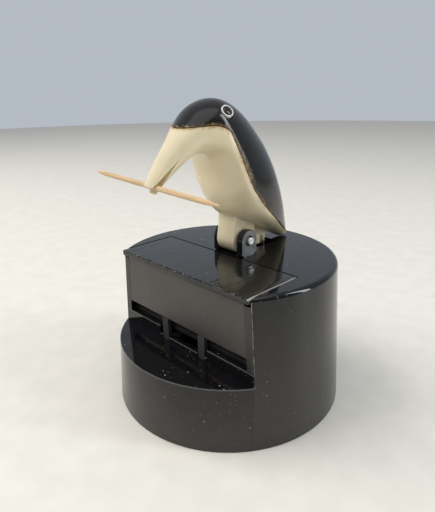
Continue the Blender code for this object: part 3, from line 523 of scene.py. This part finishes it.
def birch(name, shift):
    """Pale birch: grain along X, darker fibres, and its own tone for each stick."""
    look = Look(name, (0.74 - 0.05 * shift, 0.53 - 0.06 * shift, 0.31 - 0.05 * shift), 0.58)
    grain = look.noise(1.0, detail=5.0, rough=0.65, place=look.stretched((70.0, 2300.0, 2300.0)))
    look.tint(look.spread(grain, 0.74, 1.14))
    look.paint(look.ranged(look.noise(120.0, detail=3.0), 0.55, 0.75, 0.0, 0.35), (0.46, 0.28, 0.13))
    look.bump(grain, 0.5, 0.05 * MM)
    return look.made


# ---------------------------------------------------------------- mesh helpers
CUTTERS = bpy.data.collections.new("cutters")
CREASE_DEG = 32


def finished(bm, name):
    bmesh.ops.recalc_face_normals(bm, faces=bm.faces)
    mesh = bpy.data.meshes.new(name)
    bm.to_mesh(mesh)
    bm.free()
    return mesh


def tool(mesh):
    """An unlinked helper object: a cutter or an adder for a Boolean."""
    made = bpy.data.objects.new(mesh.name, mesh)
    CUTTERS.objects.link(made)
    return made


def box_mesh(name, low, high):
    low, high = Vector(low), Vector(high)
    bm = bmesh.new()
    bmesh.ops.create_cube(bm, size=1.0)
    bmesh.ops.scale(bm, vec=high - low, verts=bm.verts)
    bmesh.ops.translate(bm, vec=(low + high) / 2, verts=bm.verts)
    return finished(bm, name)


def lofted(bm, name, rings):
    """A mesh of the faces between rings of as many points each, with both ends closed."""
    count = len(rings[0])
    for one, two in zip(rings, rings[1:]):
        for i in range(count):
            j = (i + 1) % count
            bm.faces.new((one[i], one[j], two[j], two[i]))
    bm.faces.new(rings[0])
    bm.faces.new(list(reversed(rings[-1])))
    return finished(bm, name)


def turned_mesh(name, profile, steps, centre=(0, 0, 0), axis=(0, 0, 1)):
    """A profile of (radius, height) points turned round an axis, closed at points of radius 0."""
    bm = bmesh.new()
    rings = []
    for radius, height in profile:
        if radius < 1e-9:
            rings.append([bm.verts.new((0.0, 0.0, height))])
            continue
        turns = [2 * math.pi * i / steps for i in range(steps)]
        rings.append([bm.verts.new((radius * math.cos(a), radius * math.sin(a), height)) for a in turns])
    for one, two in zip(rings, rings[1:]):
        for i in range(steps):
            j = (i + 1) % steps
            corners = [one[i % len(one)], one[j % len(one)], two[j % len(two)], two[i % len(two)]]
            unique = list(dict.fromkeys(corners))
            if len(unique) > 2:
                bm.faces.new(unique)
    if len(rings[0]) > 1 and profile[0] != profile[-1]:
        bm.faces.new(rings[0])
        bm.faces.new(rings[-1])
    bmesh.ops.remove_doubles(bm, verts=bm.verts, dist=1e-7)
    turn = Vector((0, 0, 1)).rotation_difference(Vector(axis)).to_matrix().to_4x4()
    bm.transform(Matrix.Translation(Vector(centre)) @ turn)
    return finished(bm, name)


def rod_mesh(name, radius, low, high, steps, centre=(0, 0, 0), axis=(0, 0, 1)):
    """A plain cylinder between two heights along an axis."""
    return turned_mesh(name, [(0.0, high), (radius, high), (radius, low), (0.0, low)], steps, centre, axis)


def plate_mesh(name, outline, x_low, x_high):
    """A flat outline of (y, z) points, extruded along X."""
    bm = bmesh.new()
    face = bm.faces.new([bm.verts.new((x_low, y, z)) for y, z in outline])
    moved = bmesh.ops.extrude_face_region(bm, geom=[face])["geom"]
    verts = [v for v in moved if isinstance(v, bmesh.types.BMVert)]
    bmesh.ops.translate(bm, vec=(x_high - x_low, 0, 0), verts=verts)
    return finished(bm, name)


def arc(centre, radius, start_deg, end_deg, count):
    step = (end_deg - start_deg) / (count - 1)
    turns = [math.radians(start_deg + step * i) for i in range(count)]
    return [(centre[0] + radius * math.cos(a), centre[1] + radius * math.sin(a)) for a in turns]


def baked(obj):
    """Replaces an object's mesh by its evaluated one and drops the modifiers."""
    graph = bpy.context.evaluated_depsgraph_get()
    mesh = bpy.data.meshes.new_from_object(obj.evaluated_get(graph))
    mesh.name = obj.name
    obj.modifiers.clear()
    obj.data = mesh


def carved(name, mesh, cuts=(), joins=(), keep=None, bevel=None, segments=3):
    """A piece made from a mesh: joined, cut, kept inside another mesh, then softened along its edges."""
    made = bpy.data.objects.new(name, mesh)
    bpy.context.scene.collection.objects.link(made)
    steps = [("UNION", m) for m in joins]
    steps += [("INTERSECT", m) for m in ([keep] if keep else [])]
    steps += [("DIFFERENCE", m) for m in cuts]
    for operation, other in steps:
        change = made.modifiers.new(other.name, "BOOLEAN")
        change.operation = operation
        change.solver = "EXACT"
        change.object = tool(other)
    if steps:
        baked(made)
    if bevel:
        soft = made.modifiers.new("soft_edges", "BEVEL")
        soft.width = bevel
        soft.segments = segments
        soft.limit_method = "ANGLE"
        soft.angle_limit = math.radians(CREASE_DEG)
        baked(made)
    return made


def carved_mesh(name, mesh, cuts):
    """A cut mesh for further use, without an object."""
    made = carved(name, mesh, cuts=cuts)
    left = made.data
    bpy.data.objects.remove(made)
    return left


def shade(obj, angle=CREASE_DEG, flats=False):
    """Smooth shading; flats keeps large flat faces even next to small rounded edges."""
    obj.data.shade_smooth()
    obj.data.set_sharp_from_angle(angle=math.radians(angle))
    if flats:
        even = obj.modifiers.new("flat_faces", "WEIGHTED_NORMAL")
        even.weight = 100
        even.keep_sharp = True
        baked(obj)
    return obj


def vertex_mask(obj, name, values):
    layer = obj.data.attributes.new(name, "FLOAT", "POINT")
    layer.data.foreach_set("value", values)


def mark_wear(obj, widest_face=1.6e-6):
    """Vertex mask of rounded outer edges: the surface bulges and no face is over widest_face (m2)."""
    least = 0.15                    # radians between two faces
    bm = bmesh.new()
    bm.from_mesh(obj.data)
    values = []
    for vert in bm.verts:
        bulge = [e.calc_face_angle_signed(0.0) for e in vert.link_edges if len(e.link_faces) == 2]
        small = all(f.calc_area() < widest_face for f in vert.link_faces)
        values.append(1.0 if small and bulge and max(bulge) > least and min(bulge) > -least else 0.0)
    bm.free()
    vertex_mask(obj, "wear", values)


def show(obj, body, look, slot, *nodes):
    """Gives a piece its material, its body and the CAD nodes that it stands for."""
    obj.data.materials.clear()
    obj.data.materials.append(look)
    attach(obj, body)
    if nodes:
        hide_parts(*nodes)


def wall_radius(z):
    """The tapered case's outer radius at one height."""
    return BASE_RADIUS + (TOP_RADIUS - BASE_RADIUS) * z / BASE_HEIGHT


# ---------------------------------------------------------------- the base
DRUM_STEPS = 192
TOP_INSIDE_Z = LID_LOW.z


def cone_mesh(name, inset, low, high):
    """A solid cone between two heights, inset from the outside of the case."""
    profile = [(0.0, high), (wall_radius(high) - inset, high), (wall_radius(low) - inset, low), (0.0, low)]
    return turned_mesh(name, profile, DRUM_STEPS)


def screw_posts():
    """Posts inside the case for the screws of the cover, hopper and hinge plate, and their holes."""
    # the screws' names, the posts' foot and radius, and the top of the hole
    kinds = (
        ("cover_screw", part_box("bottom_cover")[1].z + GAP, POST_RADIUS, 14.0 * MM),
        ("hopper_screw", FLANGE_TOP + GAP, POST_RADIUS, 55.6 * MM),
        ("bracket_screw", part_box("hinge_bracket")[0].z + PLATE_THICK + GAP, PLATE_POST_RADIUS, 55.9 * MM),
    )
    posts, holes = [], []
    for node in sorted(frame["nodes"]):
        for kind, foot, radius, hole_top in kinds:
            if not node.startswith(kind):
                continue
            low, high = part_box(node)
            at = ((low.x + high.x) / 2, (low.y + high.y) / 2, 0.0)
            roof = (TRAY_Z if at[1] < FRONT_Y else BASE_HEIGHT) - MM
            posts.append(rod_mesh("post_" + node, radius, foot, roof, 32, at))
            holes.append(rod_mesh("bore_" + node, SCREW_HOLE, foot - MM, hole_top, 24, at))
    return posts, holes


def drum():
    """The case: a hollow tapered drum with the tray, the lid well, the slots and the screw posts."""
    rim = 1.8 * MM
    fillet = arc((TOP_RADIUS - rim, BASE_HEIGHT - rim), rim, 90, 3, 9)
    foot = 0.5 * MM
    foot_edge = [(wall_radius(foot), foot), (BASE_RADIUS - 0.15 * MM, 0.12 * MM), (BASE_RADIUS - foot, 0.0)]
    profile = [(0.0, BASE_HEIGHT), *fillet, *foot_edge, (0.0, 0.0)]
    far = 2 * BASE_RADIUS
    lip = box_mesh("tray_and_lip", (-far, -far, TRAY_Z - TRAY_THICK), (far, FRONT_Y + WALL, LIP_TOP_Z))
    cuts = [
        carved_mesh("room", cone_mesh("room_cone", WALL, -MM, TOP_INSIDE_Z), [lip]),
        box_mesh("front_step", (-far, -far, TRAY_Z), (far, FRONT_Y, 2 * BASE_HEIGHT)),
        box_mesh(
            "notch", (-NOTCH_HALF, FRONT_Y - MM, SILL_Z),
            (NOTCH_HALF, FRONT_Y + WALL + MM, LIP_TOP_Z + MM),
        ),
        box_mesh(
            "lid_well", (LID_LOW.x - GAP, -BASE_RADIUS, TOP_INSIDE_Z - MM),
            (LID_HIGH.x + GAP, LID_HIGH.y + GAP, BASE_HEIGHT + MM),
        ),
        box_mesh(
            "link_slot", (-LINK_SLOT_HALF, LINK_SLOT_Y[0], TOP_INSIDE_Z - MM),
            (LINK_SLOT_HALF, LINK_SLOT_Y[1], BASE_HEIGHT + MM),
        ),
    ]
    inner, outer = EAR_X[0] - GAP, EAR_X[1] + GAP
    for low_x, high_x in ((inner, outer), (-outer, -inner)):
        cuts.append(box_mesh(
            "ear_hole", (low_x, EAR_Y[0] - GAP, TOP_INSIDE_Z - MM),
            (high_x, EAR_Y[1] + GAP, BASE_HEIGHT + MM),
        ))
    for at in (-FINGER_X, FINGER_X):
        cuts.append(box_mesh(
            "finger_slot", (at - FINGER_SLOT_HALF, FRONT_Y - 0.01 * MM, TRAY_Z - TRAY_THICK - MM),
            (at + FINGER_SLOT_HALF, FRONT_Y + WALL + MM, LIP_TOP_Z),
        ))
    hollow = carved_mesh("hollow_case", turned_mesh("drum_case", profile, DRUM_STEPS), cuts)
    posts, holes = screw_posts()
    made = carved("drum_case", hollow, joins=posts, cuts=holes, bevel=0.35 * MM)
    shade(made, flats=True)
    mark_wear(made)
    outside = [v.co.xy.length > wall_radius(v.co.z) - 0.03 * MM for v in made.data.vertices]
    vertex_mask(made, "outer_wall", [float(yes) for yes in outside])
    show(made, "base", drum_plastic(), "black_gloss_plastic", "drum_housing")


def fascia():
    """The flat front panel, whose ends follow the cone just inside the wall."""
    cuts = [
        box_mesh("fascia_front", (-1, -1, 0), (1, FRONT_Y, 1)),
        box_mesh("fascia_rear", (-1, FRONT_Y + FASCIA_THICK, 0), (1, 1, 1)),
    ]
    panel = cone_mesh("fascia_panel", WALL + 0.08 * MM, *FASCIA_Z)
    made = carved("fascia_panel", panel, cuts=cuts, bevel=0.25 * MM, segments=2)
    shade(made, flats=True)
    show(made, "base", fascia_plastic(), "black_satin_plastic", "front_fascia")


def lid():
    """The lid, with a rounded front edge that is nicked all along."""
    mesh = box_mesh("lid_panel", LID_LOW, LID_HIGH)
    bm = bmesh.new()
    bm.from_mesh(mesh)
    half_width = (LID_HIGH.x - LID_LOW.x) / 2
    across = [e for e in bm.edges if abs(e.verts[0].co.x - e.verts[1].co.x) > half_width]
    bmesh.ops.subdivide_edges(bm, edges=across, cuts=139)
    bm.to_mesh(mesh)
    bm.free()
    made = carved("lid_panel", mesh, bevel=0.55 * MM, segments=4)
    edge = 0.9 * MM
    for vert in made.data.vertices:
        if vert.co.y < LID_LOW.y + edge and vert.co.z > LID_LOW.z + edge:
            nick = max(0.0, noise.noise(vert.co * 900.0) + 0.6 * noise.noise(vert.co * 2600.0) - 0.15)
            vert.co.y += nick * 0.30 * MM
            vert.co.z -= nick * 0.22 * MM
    shade(made, 40, flats=True)
    show(made, "base", lid_plastic(), "black_satin_plastic", "hopper_lid")


# ---------------------------------------------------------------- the hinge
def bracket():
    """The hinge plate under the top with its two round-topped ears, and the holes for pin and screws."""
    low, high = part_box("hinge_bracket")
    radius = high.z - PIVOT.z
    base_z = (low.z, low.z + PLATE_THICK)
    shoulder = BASE_HEIGHT + GAP
    outline = [
        (EAR_Y[1], base_z[0] + MM), (EAR_Y[1], shoulder), (PIVOT.y + radius, shoulder),
        *arc((PIVOT.y, PIVOT.z), radius, 0, 180, 33), (PIVOT.y - radius, shoulder), (EAR_Y[0], shoulder),
        (EAR_Y[0], base_z[0] + MM),
    ]
    near, far = EAR_X
    ears = [plate_mesh("ear", outline, low_x, high_x) for low_x, high_x in ((near, far), (-far, -near))]
    base = box_mesh("hinge_ears", (low.x, low.y, base_z[0]), (high.x, high.y, base_z[1]))
    cuts = [rod_mesh("hole", PIN_HOLE, -ROD_REACH, ROD_REACH, 48, PIVOT, (1, 0, 0))]
    for node in ("bracket_screw_left", "bracket_screw_right"):
        screw_low, screw_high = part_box(node)
        at = (screw_low + screw_high) / 2
        cuts.append(rod_mesh(
            "plate_hole", SCREW_HOLE, base_z[0] - MM, base_z[1] + MM, 24, (at.x, at.y, 0.0)
        ))
    made = carved("hinge_ears", base, joins=ears, cuts=cuts, bevel=0.45 * MM, segments=4)
    shade(made, flats=True)
    mark_wear(made, 0.7e-6)
    look = gloss_black("ear_plastic", roughness=0.16, dust=0.93, wear=0.35)
    cheeks = look.maths(
        "MAXIMUM", look.band("X", EAR_X[1] - 0.04 * MM, EAR_X[1] + MM, 0.03 * MM),
        look.band("X", -EAR_X[1] - MM, -EAR_X[1] + 0.04 * MM, 0.03 * MM),
    )
    rubbed = look.ranged(look.noise(260.0, detail=4.0, rough=0.6), 0.30, 0.65, 0.45, 1.0)
    look.paint(look.maths("MULTIPLY", cheeks, rubbed), (0.26, 0.265, 0.27))
    look.roughen(cheeks, 0.18)
    show(made, "base", look.made, "black_gloss_plastic", "hinge_bracket")


def pin():
    """The hinge pin along X: a button head on one side, a peened and dimpled end on the other."""
    head, shank = 2.3 * MM, 1.5 * MM
    head_round, end_round = 0.3 * MM, 0.35 * MM
    out, inside = PIN_HIGH.x, -EAR_X[1] - GAP
    dimple = [(0.0, out - 0.12 * MM), (0.5 * MM, out - 0.1 * MM), (0.8 * MM, out)]
    peened = arc((shank - end_round, out - end_round), end_round, 90, 0, 5)
    button = arc((head - head_round, PIN_LOW.x + head_round), head_round, 0, -90, 5)
    profile = [*dimple, *peened, (shank, inside), (head, inside), *button, (0.0, PIN_LOW.x)]
    made = carved("pivot_pin", turned_mesh("pivot_pin", profile, 48, (0, PIVOT.y, PIVOT.z), (1, 0, 0)))
    look = steel("pin_steel", (0.95, 0.94, 0.92), 0.42)
    show(shade(made), "base", look, "bright_steel", "hinge_pin")


# ---------------------------------------------------------------- the bird
# Sections from tail to bill, in base radii: under side (y, z), upper side (y, z), half width, and where
# the widest point lies, as a share of the way from the under side to the upper side.
BIRD_SECTIONS = [
    ((0.785, 1.262), (0.800, 1.290), 0.030, 0.50),
    ((0.690, 1.262), (0.700, 1.400), 0.090, 0.50),
    ((0.550, 1.330), (0.640, 1.560), 0.155, 0.37),
    ((0.360, 1.420), (0.580, 1.730), 0.228, 0.30),
    ((0.160, 1.520), (0.512, 1.905), 0.283, 0.22),
    ((-0.035, 1.620), (0.438, 2.040), 0.305, 0.30),
    ((-0.115, 1.800), (0.360, 2.170), 0.305, 0.19),
    ((-0.155, 1.965), (0.255, 2.290), 0.290, 0.14),
    ((-0.225, 2.105), (0.130, 2.410), 0.270, 0.17),
    ((-0.300, 2.140), (-0.020, 2.505), 0.252, 0.33),
    ((-0.375, 2.140), (-0.170, 2.540), 0.222, 0.55),
    ((-0.440, 2.114), (-0.322, 2.496), 0.180, 0.64),
    ((-0.500, 2.072), (-0.466, 2.380), 0.140, 0.60),
    ((-0.560, 2.030), (-0.570, 2.272), 0.105, 0.50),
    ((-0.640, 1.975), (-0.663, 2.165), 0.085, 0.50),
    ((-0.700, 1.931), (-0.745, 2.055), 0.075, 0.50),
    ((-0.742, 1.893), (-0.805, 1.966), 0.062, 0.50),
]
# The joint line between the two halves, (y, z) in base radii, from before the head to behind the tail.
SEAM = [
    (-0.700, 2.325), (-0.500, 2.340), (-0.305, 2.352), (-0.198, 2.310), (-0.168, 2.245),
    (-0.108, 2.105), (0.000, 1.862), (0.192, 1.655), (0.495, 1.442), (0.785, 1.274), (0.950, 1.195),
]
# The mouth, (y, z) in base radii: its inner corner, and where it holds the toothpick.
BILL_SLIT = (-0.573, 2.130)
BILL_GRIP = (-0.748, 1.950)
BILL_HALF_ANGLE = math.radians(6.3)
RING_POINTS = 48
RINGS_BETWEEN = 6
SEAM_BETWEEN = 4
SHELL_BEVEL = 0.22 * MM


def blend(before, a, b, after, t):
    """Catmull-Rom value between a and b."""
    return 0.5 * (
        2 * a + (b - before) * t + (2 * before - 5 * a + 4 * b - after) * t * t
        + (3 * a - before - 3 * b + after) * t ** 3
    )


def smooth_rows(rows, between):
    """The given rows with evenly blended ones between them."""
    padded = [rows[0], *rows, rows[-1]]
    out = []
    for four in zip(padded, padded[1:], padded[2:], padded[3:]):
        for i in range(between):
            out.append([blend(*values, i / between) for values in zip(*four)])
    return [*out, rows[-1]]


def bird_mesh(name):
    """The whole bird as one lofted solid, lowered a little to fit under the CAD model's crown."""
    sections = [[*low, *high, half, share] for low, high, half, share in BIRD_SECTIONS]
    rows = smooth_rows(sections, RINGS_BETWEEN)
    bm = bmesh.new()
    rings = []
    for low_y, low_z, high_y, high_z, half, share in rows:
        low = Vector((0.0, low_y, low_z)) * BASE_RADIUS
        high = Vector((0.0, high_y, high_z)) * BASE_RADIUS
        middle = low.lerp(high, share)
        ring = []
        for i in range(RING_POINTS):
            turn = 2 * math.pi * (i + 0.5) / RING_POINTS
            reach = (high - middle) if math.sin(turn) > 0 else (middle - low)
            side = Vector((half * BASE_RADIUS * math.cos(turn), 0.0, 0.0))
            ring.append(bm.verts.new(middle + side + reach * math.sin(turn)))
        rings.append(ring)
    crown = max(v.co.z for v in bm.verts)
    lowered = (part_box("bird_back_shell")[1].z - 0.02 * MM - PIVOT.z) / (crown - PIVOT.z)
    for vert in bm.verts:
        vert.co.z = PIVOT.z + (vert.co.z - PIVOT.z) * lowered
    return lofted(bm, name, rings)


def seam_line():
    """The joint line in metres, with smooth points between the listed ones."""
    return [Vector(p) * BASE_RADIUS for p in smooth_rows(SEAM, SEAM_BETWEEN)]


def seam_region(name, shift):
    """Everything behind the seam, moved by shift away from the pale front."""
    line = seam_line()
    moved = []
    for i, point in enumerate(line):
        run = (line[min(i + 1, len(line) - 1)] - line[max(i - 1, 0)]).normalized()
        moved.append(point + Vector((-run.y, run.x)) * shift)
    far = [Vector(p) * BASE_RADIUS for p in ((1.30, 1.20), (1.30, 2.90), (-1.00, 2.90), (-1.00, 2.325))]
    return plate_mesh(name, [tuple(p) for p in moved + far], -BASE_RADIUS, BASE_RADIUS)


def mark_seam(obj, core, reach):
    """Vertex mask that fades away from the joint line between the two halves."""
    line = seam_line()
    values = []
    for vert in obj.data.vertices:
        here = Vector((vert.co.y, vert.co.z))
        near = 1.0
        for a, b in zip(line, line[1:]):
            run = b - a
            t = min(1.0, max(0.0, (here - a).dot(run) / run.length_squared))
            near = min(near, (here - a - run * t).length)
        values.append(max(0.0, 1.0 - max(0.0, near - core) / reach))
    vertex_mask(obj, "seam", values)


def in_metres(points):
    """Outline points from base radii to metres."""
    return [(y * BASE_RADIUS, z * BASE_RADIUS) for y, z in points]


def flared_leg():
    """The leg round the hinge, cut at several levels so that it can widen smoothly toward the breast."""
    pivot = (PIVOT.y / BASE_RADIUS, PIVOT.z / BASE_RADIUS)
    outline = in_metres([
        (0.100, 1.700), (0.020, 1.640), (-0.004, 1.500), *arc(pivot, LEG_LUG / BASE_RADIUS, 180, 360, 33),
        (0.240, 1.520), (0.240, 1.560),
    ])
    start, run, widening = 5.0 * MM, 8.0 * MM, 0.22
    mesh = plate_mesh("leg", outline, -LEG_HALF, LEG_HALF)
    bm = bmesh.new()
    bm.from_mesh(mesh)
    for i in range(5):
        level = (0.0, 0.0, PIVOT.z + start + 1.5 * MM * i)
        everything = [*bm.verts, *bm.edges, *bm.faces]
        bmesh.ops.bisect_plane(bm, geom=everything, plane_co=level, plane_no=(0, 0, 1))
    bm.to_mesh(mesh)
    bm.free()
    for vert in mesh.vertices:
        spread = max(0.0, vert.co.z - PIVOT.z - start) / run
        vert.co.x *= 1.0 + widening * min(1.0, spread) ** 1.5
    return mesh


def bill_slit():
    """A wedge that opens the bill from its inner corner to past its tips."""
    corner = Vector(BILL_SLIT)
    past_grip = (Vector(BILL_GRIP) - corner) * 2.0
    jaws = [corner + Matrix.Rotation(side * BILL_HALF_ANGLE, 2) @ past_grip for side in (-1, 1)]
    return plate_mesh("slit", in_metres([tuple(p) for p in (corner, *jaws)]), -BASE_RADIUS, BASE_RADIUS)


def bird_front():
    """The pale half: head front, breast and tail underside, with the leg and the lever behind it."""
    lever = [
        (PIVOT.y, PIVOT.z - 5 * MM), *arc((LINK_TOP.y, LINK_TOP.z), 2.1 * MM, 270, 380, 12),
        (24 * MM, 64 * MM), (20 * MM, 66.5 * MM), (7 * MM, 68 * MM),
    ]
    joins = [flared_leg(), plate_mesh("lever", lever, -LEVER_HALF, LEVER_HALF)]
    cuts = [
        seam_region("seam_cut", -GAP / 2),
        bill_slit(),
        rod_mesh("pin_bore", PIN_HOLE, -ROD_REACH, ROD_REACH, 48, PIVOT, (1, 0, 0)),
        rod_mesh("link_bore", LINK_HOLE, -ROD_REACH, ROD_REACH, 32, LINK_TOP, (1, 0, 0)),
    ]
    whole = bird_mesh("bird_front")
    made = carved("bird_front", whole, joins=joins, cuts=cuts, bevel=SHELL_BEVEL, segments=2)
    shade(made, 40)
    mark_seam(made, core=0.25 * MM, reach=0.30 * MM)
    show(made, "bird", cream_plastic(), "cream_plastic", "bird_front_shell")


# The left eye: the way it looks, and its place in base radii. The right one mirrors it.
EYE_AXIS = Vector((0.80, -0.10, 0.59)).normalized()
EYE_AT = (0.197, -0.180, 2.447)
EYE_RADIUS = 2.25 * MM
SOCKET_DEPTH = 1.4 * MM


def eye_frames():
    """Each eye's name, socket floor and axis."""
    for side, label in ((1, "left"), (-1, "right")):
        centre = Vector((side * EYE_AT[0], EYE_AT[1], EYE_AT[2])) * BASE_RADIUS
        axis = Vector((side * EYE_AXIS.x, EYE_AXIS.y, EYE_AXIS.z))
        yield label, centre - axis * SOCKET_DEPTH, axis


def bird_back():
    """The black half: the back of the head, the back and the tail, with a socket for each eye."""
    past_skin = 6 * MM
    cuts = [
        rod_mesh(f"socket_{label}", EYE_RADIUS + GAP, 0, past_skin, 48, floor, axis)
        for label, floor, axis in eye_frames()
    ]
    made = carved(
        "bird_back", bird_mesh("bird_back"), keep=seam_region("seam_keep", GAP / 2), cuts=cuts,
        bevel=SHELL_BEVEL, segments=2,
    )
    shade(made, 40)
    mark_seam(made, core=0.30 * MM, reach=0.45 * MM)
    look = gloss_black("bird_black", (0.009, 0.008, 0.008), 0.13, dust=0.95)
    ragged = look.ranged(look.noise(1100.0, detail=5.0, rough=0.75), 0.42, 0.60, 0.0, 1.0)
    smear = look.maths("MULTIPLY", look.attribute("seam"), ragged)
    look.paint(look.maths("MULTIPLY", smear, 0.85), (0.34, 0.20, 0.065))
    flake = look.ranged(look.noise(1500.0, detail=3.0), 0.60, 0.66, 0.0, 0.8)
    look.paint(look.maths("MULTIPLY", look.attribute("seam"), flake), (0.72, 0.60, 0.36))
    look.roughen(look.attribute("seam"), 0.35)
    show(made, "bird", look.made, "black_gloss_plastic", "bird_back_shell")


def eyes():
    """A white ring with a rolled edge round each dark domed bead."""
    inner, height, dome_rise = 1.80 * MM, 1.2 * MM, 0.5 * MM
    bead = inner - 0.1 * MM
    crown = arc(((EYE_RADIUS + inner) / 2, height), (EYE_RADIUS - inner) / 2, 180, 0, 9)
    for label, floor, axis in eye_frames():
        base = floor + axis * GAP
        ring = turned_mesh(
            f"eye_white_{label}", [(inner, 0.0), *crown, (EYE_RADIUS, 0.0), (inner, 0.0)], 64, base, axis
        )
        made = shade(carved(f"eye_white_{label}", ring), 50)
        show(made, "bird", white_enamel(f"eye_white_{label}"), "white_plastic", f"eye_ring_{label}")
        turns = [math.radians(90 - 11.25 * i) for i in range(1, 9)]
        dome = [(bead * math.cos(a), height + dome_rise * math.sin(a)) for a in turns]
        profile = [(0.0, height + dome_rise), *dome, (bead, 0.0), (0.0, 0.0)]
        bead_mesh = turned_mesh(f"eye_dark_{label}", profile, 48, base, axis)
        made = shade(carved(f"eye_dark_{label}", bead_mesh), 50)
        look = gloss_black(f"eye_dark_{label}", (0.020, 0.013, 0.009), 0.12, dust=0.98)
        show(made, "bird", look.made, "black_gloss_plastic", f"eye_bead_{label}")


# ---------------------------------------------------------------- the return spring
SPRING_TURNS = 7
WIRE_RADIUS = 0.35 * MM
SPRING_STEPS = 40
SPRING_SIDES = 10


def spring():
    """A wound wire between the rocker's rear arm and the hinge plate, made at one fixed length; the real spring
    shortens as the bird pecks.
    """
    low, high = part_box("return_spring")
    middle = (low + high) / 2
    radius = (high.x - low.x) / 2 - WIRE_RADIUS
    z_low, z_high = low.z + WIRE_RADIUS, high.z - WIRE_RADIUS
    bm = bmesh.new()
    rings = []
    for i in range(SPRING_TURNS * SPRING_STEPS + 1):
        share = i / (SPRING_TURNS * SPRING_STEPS)
        angle = 2 * math.pi * SPRING_TURNS * share
        out = Vector((math.cos(angle), math.sin(angle), 0.0))
        at = Vector((middle.x, middle.y, z_low + (z_high - z_low) * share)) + out * radius
        sides = [2 * math.pi * j / SPRING_SIDES for j in range(SPRING_SIDES)]
        ways = [out * math.cos(a) + Vector((0, 0, math.sin(a))) for a in sides]
        rings.append([bm.verts.new(at + WIRE_RADIUS * way) for way in ways])
    made = shade(carved("coil_spring", lofted(bm, "coil_spring", rings)), 50)
    show(made, "base", steel("spring_steel", roughness=0.26), "bright_steel", "return_spring")
    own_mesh(made)


# ---------------------------------------------------------------- toothpicks
PICK_HALF = 32.5 * MM
PICK_RADIUS = 0.95 * MM
PICK_TAPER = 9.0 * MM
TIP_RADIUS = 0.30 * MM
HELD_TILT = math.radians(2.4)


def toothpick(name, body, node, shift):
    """A round stick of slightly uneven girth, with two worn points."""
    low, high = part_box(node)
    centre = (low + high) / 2
    tilt = HELD_TILT if node == "beak_toothpick" else 0.0
    stations = 44
    profile = []
    for i in range(stations + 1):
        along = PICK_HALF * math.cos(math.pi * i / stations)
        point = min(1.0, (PICK_HALF - abs(along)) / PICK_TAPER)
        radius = TIP_RADIUS + (PICK_RADIUS - TIP_RADIUS) * math.sin(point * math.pi / 2) ** 0.8
        profile.append((radius, along))
    profile = [(0.0, PICK_HALF), *profile, (0.0, -PICK_HALF)]
    mesh = turned_mesh(name, profile, 20)
    for vert in mesh.vertices:
        wobble = noise.noise(Vector((vert.co.x * 500, vert.co.y * 500, vert.co.z * 90 + 7 * shift)))
        vert.co.x *= 0.95 + 0.05 * wobble
        vert.co.y *= 0.95 + 0.05 * wobble
    axis = Vector((math.cos(tilt), 0.0, -math.sin(tilt)))
    turn = Vector((0, 0, 1)).rotation_difference(axis).to_matrix().to_4x4()
    mesh.transform(Matrix.Translation(centre) @ turn)
    made = shade(carved(name, mesh), 60)
    show(made, body, birch(name + "_wood", shift), "birch_wood", node)


def toothpicks():
    toothpick("held_toothpick", "bird", "beak_toothpick", 0.0)
    stored = sorted(name for name in frame["nodes"] if name.startswith("toothpick_"))
    for i, node in enumerate(stored):
        toothpick("stored_" + node, "base", node, noise.random())


# ---------------------------------------------------------------- pieces that keep their CAD shape
def carried_over():
    """Materials for the CAD nodes that no piece above stands for; the replaced ones are hidden."""
    looks = {
        "bright_steel": steel("fastener_steel"),
        "black_inner_plastic": inner_black("inner_plastic"),
        "white_plastic": white_enamel("bush_plastic"),
        "cream_plastic": rocker_plastic(),
    }
    for row in frame["record"]["subparts"]:
        obj = frame["nodes"][row["node"]]
        if obj.hide_render:
            continue
        obj.data.materials.clear()
        obj.data.materials.append(looks[row["material_slot"]])
        shade(obj)


noise.seed_set(11)
bpy.context.scene.view_settings.view_transform = "Standard"
camera()
studio()
drum()
fascia()
lid()
bracket()
pin()
bird_front()
bird_back()
eyes()
spring()
toothpicks()
carried_over()
